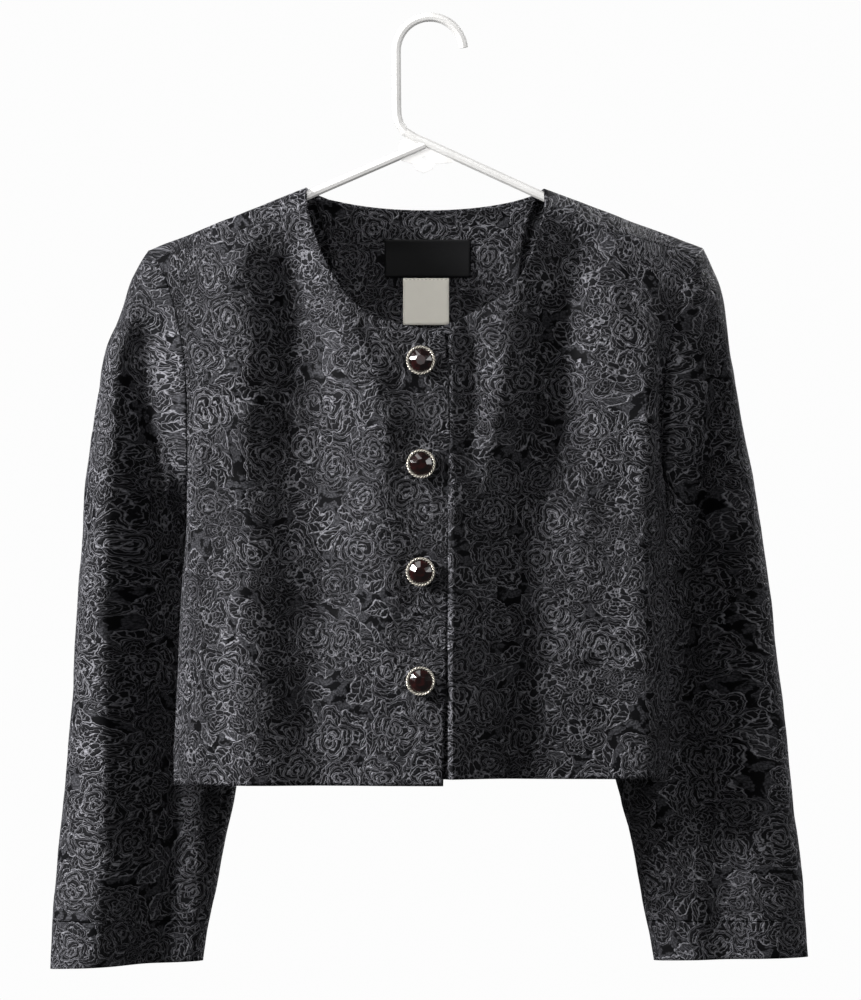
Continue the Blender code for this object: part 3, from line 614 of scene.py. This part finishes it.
def sleeve_middle(name, z):
    """The x and y of a sleeve's centre line at the given heights, in millimetres."""
    heights, xs, ys = zip(*reversed(SLEEVE_LINES[name]))
    return np.interp(z, heights, xs), np.interp(z, heights, ys)


def around(name, points):
    """Angle of each point round its piece, from the right towards the back, and the outward way."""
    if name in SLEEVE_LINES:
        middle_x, middle_y = sleeve_middle(name, points[:, 2])
        half_x, half_y = SLEEVE_HALF
    else:
        middle_x, middle_y = CENTRE_X, BODY_DEPTH_Y
        half_x, half_y = BODY_HALF
    x = (points[:, 0] - middle_x) / half_x
    y = (points[:, 1] - middle_y) / half_y
    outward = np.stack([x / half_x, y / half_y, np.zeros(len(x))], axis=1)
    outward /= np.maximum(np.linalg.norm(outward, axis=1, keepdims=True), 1e-9)
    return np.arctan2(y, x), outward


def girth_table(half_x, half_y):
    """Distance round an ellipse against the angle, for laying the pattern without stretching it."""
    angles = np.linspace(-math.pi, math.pi, 721)
    steps = np.hypot(half_x * np.diff(np.cos(angles)), half_y * np.diff(np.sin(angles)))
    return angles, np.concatenate([[0.0], np.cumsum(steps)])


def near_stretch(points, first, last):
    """Distance of each point's x, z from a straight stretch, in millimetres, and its x from it."""
    start = np.array(first, float)
    way = np.array(last, float) - start
    flat = points[:, [0, 2]] - start
    share = np.clip(flat @ way / (way @ way), 0.0, 1.0)
    off = flat - share[:, None] * way
    return np.linalg.norm(off, axis=1), off[:, 0]


def slope_rise(points, line, width, slope):
    """Rise of a broad slope: an S across its middle line that dies away on both sides."""
    nearest = np.full(len(points), np.inf)
    across = np.zeros(len(points))
    for first, last in zip(line, line[1:]):
        distance, off = near_stretch(points, first, last)
        closer = distance < nearest
        nearest = np.where(closer, distance, nearest)
        across = np.where(closer, off, across)
    return slope * across * np.exp(-0.5 * (nearest / width) ** 2)


def hang(name, points, depth, free):
    """Moves the points of a piece in and out, so the cloth hangs in soft uneven folds."""
    if name == "neck_facing":
        return points
    _, outward = around(name, points)
    shown = {"front": np.clip(-outward[:, 1] / SIDE_FADE, 0.0, 1.0),
             "rear": np.clip(outward[:, 1] / SIDE_FADE, 0.0, 1.0)}
    rise = np.zeros(len(points))
    for side, share in shown.items():
        for first, last, width, height in FOLDS.get(f"{name} {side}", ()):
            near = np.exp(-(near_stretch(points, first, last)[0] / width) ** 2)
            rise += height * share * near
    for side, share in shown.items():
        for line, width, slope in SLOPES.get(f"{name} {side}", ()):
            rise += share * slope_rise(points, line, width, slope)
    for wide, tall, turn, height in RIPPLES:
        sway = RIPPLE_SWAY * np.sin(points[:, 2] * 2 * math.pi / tall + 2 * turn)
        rise += height * np.sin(points[:, 0] * 2 * math.pi / wide + turn + sway)
    if name == "front_right":
        rise *= 1 - np.exp(-((points[:, 0] - BUTTON_STRIP[0]) / BUTTON_STRIP[1]) ** 2)
        rise *= np.clip((OVERLAP_END - points[:, 0]) / OVERLAP_END, 0.0, 1.0)
    if name == "front_left":
        rise *= np.clip((points[:, 0] - UNDERLAP[0]) / UNDERLAP[1], 0.0, 1.0)
    rise *= free * free * (3 - 2 * free)
    if name == "back":
        above = np.clip((points[:, 2] - FACING_LOW) / FACING_FADE, 0.0, 1.0)
        from_middle = np.abs(points[:, 0] - CENTRE_X)
        rise *= 1 - above * np.clip((FACING_HALF - from_middle) / FACING_FADE, 0.0, 1.0)
    return points + outward * (rise * depth)[:, None]


def mark_free_cloth(meshes):
    """Marks how free each point is to move: 0 on a seam with another sewn piece, 1 away from it."""
    trees = {name: BVHTree.FromBMesh(bm) for name, bm in meshes.items() if name in SEWN}
    for name, bm in meshes.items():
        free = bm.verts.layers.float.new("free")
        others = [tree for other, tree in trees.items() if other != name and name in SEWN]
        sewn = [vert for vert in bm.verts
                if any(tree.find_nearest(vert.co, SEAM_REACH * MM)[0] for tree in others)]
        tree = KDTree(len(sewn))
        for index, vert in enumerate(sewn):
            tree.insert(vert.co, index)
        tree.balance()
        for vert in bm.verts:
            away = tree.find(vert.co)[2] / (SEAM_FADE * MM) if sewn else 1.0
            vert[free] = min(away, 1.0)


def rim_creases(bm):
    """Creases the two edges of each thin rim, so a seam stays where the solids meet."""
    creases = bm.edges.layers.float.get("crease_edge") or bm.edges.layers.float.new("crease_edge")
    for edge in bm.edges:
        if len(edge.link_faces) == 2 and edge.calc_face_angle(0.0) > math.radians(50):
            edge[creases] = 1.0


def shell_bmesh(name):
    """A copy of a node's thin shell, merged and made of quads."""
    bm = bmesh.new()
    bm.from_mesh(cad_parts[name].data)
    bmesh.ops.remove_doubles(bm, verts=bm.verts, dist=0.00001)
    bmesh.ops.join_triangles(bm, faces=bm.faces, angle_face_threshold=math.radians(30),
                             angle_shape_threshold=math.radians(50))
    rim_creases(bm)
    return bm


def finer_piece(name, bm, splits):
    """A piece made from a coarse shell whose faces are split smoothly."""
    mesh = bpy.data.meshes.new(name)
    bm.to_mesh(mesh)
    bm.free()
    piece = bpy.data.objects.new(name + "_cloth", mesh)
    bpy.context.scene.collection.objects.link(piece)
    finer = piece.modifiers.new("Finer", "SUBSURF")
    finer.levels = splits
    finer.render_levels = splits
    bpy.context.view_layer.update()
    graph = bpy.context.evaluated_depsgraph_get()
    piece.data = bpy.data.meshes.new_from_object(piece.evaluated_get(graph))
    piece.modifiers.clear()
    bpy.data.meshes.remove(mesh)
    piece.data.name = piece.name
    return piece


def vertex_places(mesh):
    """A mesh's points in millimetres, one row each."""
    flat = np.empty(len(mesh.vertices) * 3, np.float32)
    mesh.vertices.foreach_get("co", flat)
    return flat.reshape(-1, 3).astype(float) / MM


def corner_points(mesh):
    """The number of the point that each face corner stands on."""
    corners = np.empty(len(mesh.loops), np.int32)
    mesh.loops.foreach_get("vertex_index", corners)
    return corners


def put_uv(mesh, places):
    """Writes a place in metres for each face corner to the cloth's UV map."""
    layer = mesh.uv_layers.new(name="cloth")
    layer.data.foreach_set("uv", places.astype(np.float32).ravel())


def put_places(mesh, points):
    """Writes points in millimetres back to the mesh."""
    mesh.vertices.foreach_set("co", (points * MM).astype(np.float32).ravel())
    mesh.update()


# Where the body's sides begin and end their turn, in millimetres from its middle.
SIDE_TURN = (170.0, 212.0)
# Where each piece's pattern lies: its middle across the cloth in millimetres, which puts the
# pressed line of a seam at the back's middle and beyond the others, and its shift along in metres.
PATTERN_ACROSS = {"front_right": 1000.0, "front_left": 1400.0, "back": 0.0, "neck_facing": 1800.0}
PATTERN_SHIFT = {"front_right": 0.0, "front_left": 2.31, "back": 4.17, "sleeve_right": 6.43,
                 "sleeve_left": 8.72, "neck_facing": 10.9}
# Sleeves are cut open at their inner seam, which faces the body a little to the front.
SLEEVE_CUTS = {"sleeve_right": -0.35, "sleeve_left": math.pi + 0.35}


def across_body(name, points):
    """Distance across a front, the back or the facing, which grows where the side turns inwards."""
    x = points[:, 0] - CENTRE_X
    edge = np.clip((np.abs(x) - SIDE_TURN[0]) / (SIDE_TURN[1] - SIDE_TURN[0]), 0.0, 1.0)
    edge = edge * edge * (3 - 2 * edge)
    from_face = BODY_HALF[1] + (points[:, 1] - BODY_DEPTH_Y) * (-1 if name == "back" else 1)
    return x + np.sign(x) * from_face * edge


def lay_pattern(mesh, name, points):
    """Writes the UV map that the jacquard follows, in metres round and along the piece."""
    corners = corner_points(mesh)
    if name in SLEEVE_CUTS:
        cut = SLEEVE_CUTS[name]
        angle, _ = around(name, points)
        angles, girth = girth_table(*SLEEVE_HALF)
        whole = girth[-1]
        start = np.interp((cut + math.pi) % (2 * math.pi) - math.pi, angles, girth)
        along = ((np.interp(angle, angles, girth) - start) % whole)[corners]
        starts = np.empty(len(mesh.polygons), np.int32)
        counts = np.empty(len(mesh.polygons), np.int32)
        mesh.polygons.foreach_get("loop_start", starts)
        mesh.polygons.foreach_get("loop_total", counts)
        first = np.repeat(along[starts], counts)
        along = np.where(along - first > whole / 2, along - whole, along)
        along = np.where(first - along > whole / 2, along + whole, along)
    else:
        along = across_body(name, points)[corners] + PATTERN_ACROSS[name]
    put_uv(mesh, np.stack([along * MM, points[corners, 2] * MM + PATTERN_SHIFT[name]], axis=1))


class JACKET_OT_cloth(bpy.types.Operator):
    """Make the fronts, back, sleeves and neck facing in folded jacquard"""

    bl_idname = "jacket.cloth"
    bl_label = "Cloth pieces"

    def execute(self, context):
        settings = context.scene.jacket_cloth
        outside = jacquard_material(settings)
        shells = {row[0]: shell_bmesh(row[0]) for row in CLOTH_PIECES}
        mark_free_cloth(shells)
        for name, splits, width, length, area, rests in CLOTH_PIECES:
            piece = finer_piece(name, shells[name], splits)
            mesh = piece.data
            points = vertex_places(mesh)
            lay_pattern(mesh, name, points)
            free = np.empty(len(points), np.float32)
            mesh.attributes["free"].data.foreach_get("value", free)
            put_places(mesh, hang(name, points, settings.fold_depth, free))
            mesh.attributes.remove(mesh.attributes["free"])
            mesh.materials.append(outside)
            mesh.shade_smooth()
            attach(piece, "root")
            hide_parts(name)
        return {"FINISHED"}


# ---------------------------------------------------------------- buttons

# Profile of the cup that holds the stone: radius and height in millimetres.
CUP_PROFILE = ((0.0, 0.2), (3.0, 0.2), (3.2, 1.4), (9.8, 1.5), (11.0, 2.2), (11.3, 3.0),
               (10.6, 3.9), (10.1, 4.15), (9.9, 3.6))
ROPE_RADIUS, ROPE_THICKNESS, ROPE_HEIGHT = 10.9, 1.15, 3.75
# How much thinner the rope is in its hollows, its sides, and the steps round the cup and in each
# rope turn.
ROPE_TWIST, ROPE_SIDES = 0.62, 10
CUP_STEPS, ROPE_STEPS = 96, 6
# Rings of the stone: corners, radius, height and turn in half corner steps. Then its edges'
# rounding, in millimetres.
STONE_RINGS = ((16, 9.6, 2.8, 0), (16, 9.7, 3.6, 0), (8, 8.5, 4.6, 1.39), (8, 4.2, 7.7, 1.39))
EDGE_ROUND = 0.09


def seat_of(node):
    """Where a button's foot stands and the way it faces, read from its rim's node."""
    points = vertex_places(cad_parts[node].data)
    middle = points.mean(axis=0)
    axis = np.linalg.svd(points - middle, full_matrices=False)[2][2]
    if axis[1] > 0:
        axis = -axis
    foot = middle + axis * ((points - middle) @ axis).min()
    return Vector(foot), Vector(axis)


def stand(bm, seat):
    """Turns and moves a shape made round Z, in millimetres, to a button's seat in metres."""
    foot, axis = seat
    turn = Vector((0, 0, 1)).rotation_difference(axis).to_matrix()
    bmesh.ops.rotate(bm, cent=(0, 0, 0), matrix=turn, verts=bm.verts)
    bmesh.ops.translate(bm, vec=foot, verts=bm.verts)
    bmesh.ops.scale(bm, vec=(MM, MM, MM), verts=bm.verts)


def add_piece(name, bm, material, replaced=None, smooth=False, sharp=None):
    """Turns a bmesh into a piece that rides on the jacket."""
    mesh = bpy.data.meshes.new(name)
    if smooth:
        for face in bm.faces:
            face.smooth = True
    if sharp is not None:
        for edge in bm.edges:
            edge.smooth = edge.calc_face_angle(0.0) < sharp
    bm.to_mesh(mesh)
    bm.free()
    mesh.materials.append(material)
    piece = bpy.data.objects.new(name, mesh)
    bpy.context.scene.collection.objects.link(piece)
    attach(piece, "root")
    if replaced:
        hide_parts(replaced)


def turned_profile(bm, profile, steps):
    """Spins an open profile of radius, height points round Z."""
    verts = [bm.verts.new((radius, 0, height)) for radius, height in profile]
    edges = [bm.edges.new(pair) for pair in zip(verts, verts[1:])]
    bmesh.ops.spin(bm, geom=verts + edges, cent=(0, 0, 0), axis=(0, 0, 1),
                   angle=2 * math.pi, steps=steps, use_merge=True)
    bmesh.ops.remove_doubles(bm, verts=bm.verts, dist=0.001)


def roped_rim(notches):
    """The cup and the roped wire round it, whose turns lie aslant."""
    bm = bmesh.new()
    turned_profile(bm, CUP_PROFILE, CUP_STEPS)
    cup = set(bm.verts)
    bmesh.ops.create_circle(bm, segments=ROPE_SIDES, radius=ROPE_THICKNESS)
    section = [vert for vert in bm.verts if vert not in cup]
    ring = [edge for edge in bm.edges if edge.verts[0] not in cup]
    bmesh.ops.rotate(bm, cent=(0, 0, 0), verts=section,
                     matrix=Vector((0, 0, 1)).rotation_difference(Vector((0, 1, 0))).to_matrix())
    bmesh.ops.translate(bm, vec=(ROPE_RADIUS, 0, ROPE_HEIGHT), verts=section)
    bmesh.ops.spin(bm, geom=section + ring, cent=(0, 0, 0), axis=(0, 0, 1), angle=2 * math.pi,
                   steps=notches * ROPE_STEPS, use_merge=True)
    # How deep each point lies in a hollow between the rope's turns, which also marks where the gilt
    # gets painted shade.
    hollow_and_shade = bm.verts.layers.float.new("hollow_and_shade")
    for vert in bm.verts:
        if vert in cup:
            continue
        round_it = math.atan2(vert.co.y, vert.co.x)
        centre = Vector((math.cos(round_it), math.sin(round_it), 0)) * ROPE_RADIUS
        centre.z = ROPE_HEIGHT
        spoke = vert.co - centre
        lay = math.atan2(spoke.z, math.hypot(vert.co.x, vert.co.y) - ROPE_RADIUS)
        vert[hollow_and_shade] = (0.5 - 0.5 * math.cos(notches * round_it - 2 * lay)) ** 2
        vert.co = centre + spoke * (1 - ROPE_TWIST * vert[hollow_and_shade])
    bmesh.ops.remove_doubles(bm, verts=bm.verts, dist=0.0001)
    bmesh.ops.recalc_face_normals(bm, faces=bm.faces)
    return bm


def cut_stone():
    """A faceted stone: a table with eight corners, one ring of crown facets and a girdle."""
    bm = bmesh.new()
    for corners, radius, height, turn in STONE_RINGS:
        made = bmesh.ops.create_circle(bm, segments=corners, radius=radius)
        bmesh.ops.rotate(bm, cent=(0, 0, 0), verts=made["verts"],
                         matrix=Matrix.Rotation(math.pi / corners * (turn + 0.5), 3, "Z"))
        bmesh.ops.translate(bm, vec=(0, 0, height), verts=made["verts"])
    hull = bmesh.ops.convex_hull(bm, input=bm.verts)
    bmesh.ops.delete(bm, geom=list({g for g in hull["geom_interior"] + hull["geom_unused"]
                                    if isinstance(g, bmesh.types.BMVert)}), context="VERTS")
    bmesh.ops.dissolve_limit(bm, angle_limit=math.radians(1), verts=bm.verts, edges=bm.edges)
    sharp = [edge for edge in bm.edges if edge.calc_face_angle(0.0) > math.radians(6)]
    bmesh.ops.bevel(bm, geom=sharp, offset=EDGE_ROUND, offset_type="OFFSET", segments=1,
                    profile=0.5, affect="EDGES", material=-1)
    return bm


class JACKET_OT_buttons(bpy.types.Operator):
    """Make the four jewelled buttons: a roped gilt rim and a faceted stone in each"""

    bl_idname = "jacket.buttons"
    bl_label = "Jewelled buttons"

    def execute(self, context):
        settings = context.scene.jacket_buttons
        gilt = gilt_material(settings)
        garnet = garnet_material(settings)
        for number in range(1, 5):
            seat = seat_of(f"button_{number}_rim")
            rim = roped_rim(settings.notches)
            stand(rim, seat)
            add_piece(f"button_{number}_roped_rim", rim, gilt,
                      f"button_{number}_rim", smooth=True, sharp=math.radians(40))
            stone = cut_stone()
            stand(stone, seat)
            add_piece(f"button_{number}_cut_stone", stone, garnet,
                      f"button_{number}_stone")
        return {"FINISHED"}


# ---------------------------------------------------------------- labels and hanger

# How far the labels stand off the facing they are sewn to, in millimetres.
LABEL_LIFT = 0.35
# Rows of stitches on each label, how far in from its edge, the distance between stitches and a
# stitch's thickness, both against its length.
LABEL_ROWS = (
    ("brand_label", "label_black", ("sides", "top")),
    ("care_label", "label_cream", ("top",)),
)
STITCH_INSET = 0.0012
STITCH_PITCH = 1.45
THREAD_SHARE = 0.16


class JACKET_OT_labels(bpy.types.Operator):
    """Make the bare woven label and the bare care tag"""

    bl_idname = "jacket.labels"
    bl_label = "Labels"

    def execute(self, context):
        settings = context.scene.jacket_trim
        finishes = {"brand_label": (ribbon_material(settings), "label_black", (0.0715, 0.0315)),
                    "care_label": (tape_material(settings), "label_cream", (0.038, 0.0386))}
        for name, (material, slot_name, flat) in finishes.items():
            piece = finer_piece(name, shell_bmesh(name), 2)
            mesh = piece.data
            points = vertex_places(mesh)
            points[:, 1] -= LABEL_LIFT
            put_places(mesh, points)
            put_uv(mesh, points[corner_points(mesh)][:, [0, 2]] * MM)
            mesh.materials.append(material)
            mesh.shade_smooth()
            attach(piece, "root")
            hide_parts(name)
        return {"FINISHED"}


def thread_run(bm, tree, start, end, length):
    """Lays stitches from start to end on the front of a label."""
    way = end - start
    count = max(int(way.length / (length * STITCH_PITCH)), 1)
    for number in range(count):
        middle = start + way * ((number + 0.5) / count)
        hit = tree.ray_cast(Vector((middle.x, -1.0, middle.z)), Vector((0, 1, 0)))[0]
        if hit is None:
            continue
        made = bmesh.ops.create_uvsphere(bm, u_segments=8, v_segments=6, radius=length / 2)
        flat = Matrix.Diagonal((1.0, THREAD_SHARE, THREAD_SHARE, 1.0))
        turned = Vector((1, 0, 0)).rotation_difference(way).to_matrix().to_4x4()
        bmesh.ops.transform(bm, verts=made["verts"], matrix=Matrix.Translation(hit) @ turned @ flat)


class JACKET_OT_stitches(bpy.types.Operator):
    """Sew the labels to the facing with rows of thread"""

    bl_idname = "jacket.stitches"
    bl_label = "Stitches"

    def execute(self, context):
        settings = context.scene.jacket_trim
        material = sewing_material(settings)
        for name, slot_name, sides in LABEL_ROWS:
            piece = bpy.data.objects[name + "_cloth"]
            tree = BVHTree.FromObject(piece, bpy.context.evaluated_depsgraph_get())
            corners = [Vector(corner) for corner in piece.bound_box]
            low = Vector([min(corner[axis] for corner in corners) for axis in range(3)])
            high = Vector([max(corner[axis] for corner in corners) for axis in range(3)])
            inset = Vector((STITCH_INSET, 0, STITCH_INSET))
            low, high = low + inset, high - inset
            rows = {"sides": ((low.x, low.z, low.x, high.z), (high.x, low.z, high.x, high.z)),
                    "top": ((low.x, high.z, high.x, high.z),)}
            bm = bmesh.new()
            for side in sides:
                for from_x, from_z, to_x, to_z in rows[side]:
                    thread_run(bm, tree, Vector((from_x, 0, from_z)), Vector((to_x, 0, to_z)),
                               settings.stitch)
            add_piece(name + "_stitches", bm, material, smooth=True)
        return {"FINISHED"}


class JACKET_OT_hanger(bpy.types.Operator):
    """Give the moulded hanger its plastic"""

    bl_idname = "jacket.hanger"
    bl_label = "Hanger"

    def execute(self, context):
        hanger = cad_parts["hanger"]
        hanger.data.materials.clear()
        hanger.data.materials.append(plastic_material(context.scene.jacket_trim))
        return {"FINISHED"}


# ---------------------------------------------------------------- stage

# What the photograph shows of the jacket's plane: its middle and its height in metres.
VIEW_MIDDLE = (0.0004, -0.3936)
VIEW_HEIGHT = 0.820
FRONT_PLANE_Y = -0.03
SENSOR = 36.0
# Height, half width and glow of the floor, and the white behind: its strength as light and as it
# is seen.
FLOOR_Z, FLOOR_HALF, FLOOR_GLOW = -1.35, 6.0, 0.86
WORLD_LIGHT, WORLD_SEEN = 0.07, 0.98

# Lights: name, place in metres, width, and share of the power that the settings give.
LIGHTS = (
    ("key_light", (-2.7, -0.95, 0.9), 0.7, 2.0),
    ("front_fill", (-0.3, -2.4, 0.6), 1.2, 0.055),
    ("top_fill", (-0.7, -0.75, 1.6), 0.7, 0.06),
    ("right_edge", (1.9, -0.5, 0.2), 0.7, 0.08),
    ("rear_key", (1.5, 1.7, 1.0), 1.2, 0.7),
)
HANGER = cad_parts["hanger"].name
RIM_PIECES = tuple(f"button_{number}_roped_rim" for number in range(1, 5))
# Soft lights that a few pieces take alone: their place, target and size, then each one's name,
# share and pieces.
FILL_PLACE = ((-0.2, -2.0, 0.5), (0.0, 0.0, -0.12), 1.0)
NARROW_FILLS = (
    ("pale_fill", 0.44, (HANGER, "care_label_cloth", *RIM_PIECES)),
    ("facing_fill", 0.08, ("neck_facing_cloth",)),
)


def aim(thing, target):
    """Turns a light or camera to look at a point."""
    way = Vector(target) - thing.location
    thing.rotation_euler = way.to_track_quat("-Z", "Y").to_euler()


def add_light(name, place, target, size, power):
    """A soft square white light."""
    light = bpy.data.lights.new(name, "AREA")
    light.size = size
    light.energy = power
    thing = bpy.data.objects.new(name, light)
    bpy.context.scene.collection.objects.link(thing)
    thing.location = place
    aim(thing, target)
    return thing


def studio_world(tree):
    """Plain white behind the jacket, which gives only a part of that as light."""
    lit = tree.nodes["Background"]
    seen = tree.nodes.new("ShaderNodeBackground")
    for shader, strength in ((lit, WORLD_LIGHT), (seen, WORLD_SEEN)):
        shader.inputs["Color"].default_value = (1, 1, 1, 1)
        shader.inputs["Strength"].default_value = strength
    path = tree.nodes.new("ShaderNodeLightPath")
    mixed = tree.nodes.new("ShaderNodeMixShader")
    tree.links.new(path.outputs["Is Camera Ray"], mixed.inputs[0])
    tree.links.new(lit.outputs[0], mixed.inputs[1])
    tree.links.new(seen.outputs[0], mixed.inputs[2])
    tree.links.new(mixed.outputs[0], tree.nodes["World Output"].inputs[0])


class JACKET_OT_stage(bpy.types.Operator):
    """Make the floor, the soft studio light and the camera"""

    bl_idname = "jacket.stage"
    bl_label = "Stage"

    def execute(self, context):
        settings = context.scene.jacket_stage
        scene = context.scene
        bm = bmesh.new()
        bmesh.ops.create_grid(bm, x_segments=1, y_segments=1, size=FLOOR_HALF)
        bmesh.ops.translate(bm, vec=(0, 0, FLOOR_Z), verts=bm.verts)
        mesh = bpy.data.meshes.new("floor")
        bm.to_mesh(mesh)
        bm.free()
        floor = bpy.data.objects.new("floor", mesh)
        scene.collection.objects.link(floor)
        material, graph = new_material("pale floor")
        pale = tuple(settings.floor)
        graph.shade(Base_Color=pale, Roughness=0.9, Emission_Color=pale,
                    Emission_Strength=FLOOR_GLOW)
        mesh.materials.append(material)
        floor.visible_diffuse = False
        floor.visible_glossy = False
        world = bpy.data.worlds.new("studio")
        world.use_nodes = True
        studio_world(world.node_tree)
        scene.world = world
        scene.view_settings.view_transform = "Standard"
        target = (0.0, 0.0, VIEW_MIDDLE[1])
        for name, place, size, share in LIGHTS:
            add_light(name, place, target, size, settings.key * share)
        for name, share, pieces in NARROW_FILLS:
            taken = bpy.data.collections.new(name)
            for piece in pieces:
                taken.objects.link(bpy.data.objects[piece])
            fill = add_light(name, *FILL_PLACE, settings.key * share)
            fill.light_linking.receiver_collection = taken
        lens = bpy.data.cameras.new("camera")
        lens.sensor_width = SENSOR
        lens.lens = SENSOR * settings.distance / VIEW_HEIGHT
        camera = bpy.data.objects.new("camera", lens)
        scene.collection.objects.link(camera)
        camera.location = (VIEW_MIDDLE[0], FRONT_PLANE_Y - settings.distance, VIEW_MIDDLE[1])
        camera.rotation_euler = (math.pi / 2, 0, 0)
        scene.camera = camera
        return {"FINISHED"}


# ---------------------------------------------------------------- panel and running order

class JACKET_PT_panel(bpy.types.Panel):
    """Sizes, colours and steps of the evening jacket"""

    bl_label = "Evening jacket"
    bl_idname = "JACKET_PT_panel"
    bl_space_type = "VIEW_3D"
    bl_region_type = "UI"
    bl_category = "Jacket"

    def draw(self, context):
        for group, names, operator in PANEL_ROWS:
            box = self.layout.box()
            settings = getattr(context.scene, group)
            for name in names:
                box.prop(settings, name)
            box.operator(operator)


PANEL_ROWS = (
    ("jacket_cloth", ("ground", "thread", "petal", "patch", "flower", "relief", "fold_depth"),
     "jacket.cloth"),
    ("jacket_buttons", ("notches", "gilt", "garnet"), "jacket.buttons"),
    ("jacket_trim", ("ribbon", "tape"), "jacket.labels"),
    ("jacket_trim", ("stitch",), "jacket.stitches"),
    ("jacket_trim", ("plastic",), "jacket.hanger"),
    ("jacket_stage", ("distance", "floor", "key"), "jacket.stage"),
)
SETTINGS = {"jacket_cloth": ClothSettings, "jacket_buttons": ButtonSettings,
            "jacket_trim": TrimSettings, "jacket_stage": StageSettings}
CLASSES = (ClothSettings, ButtonSettings, TrimSettings, StageSettings, JACKET_OT_cloth,
           JACKET_OT_buttons, JACKET_OT_labels, JACKET_OT_stitches, JACKET_OT_hanger,
           JACKET_OT_stage, JACKET_PT_panel)


def register():
    for kind in CLASSES:
        bpy.utils.register_class(kind)
    for name, kind in SETTINGS.items():
        setattr(bpy.types.Scene, name, bpy.props.PointerProperty(type=kind))


def unregister():
    for name in SETTINGS:
        delattr(bpy.types.Scene, name)
    for kind in reversed(CLASSES):
        bpy.utils.unregister_class(kind)


def main():
    """Runs every step in order."""
    register()
    bpy.ops.jacket.cloth()
    bpy.ops.jacket.buttons()
    bpy.ops.jacket.labels()
    bpy.ops.jacket.stitches()
    bpy.ops.jacket.hanger()
    bpy.ops.jacket.stage()
    bpy.context.view_layer.update()


if __name__ == "__main__":
    main()
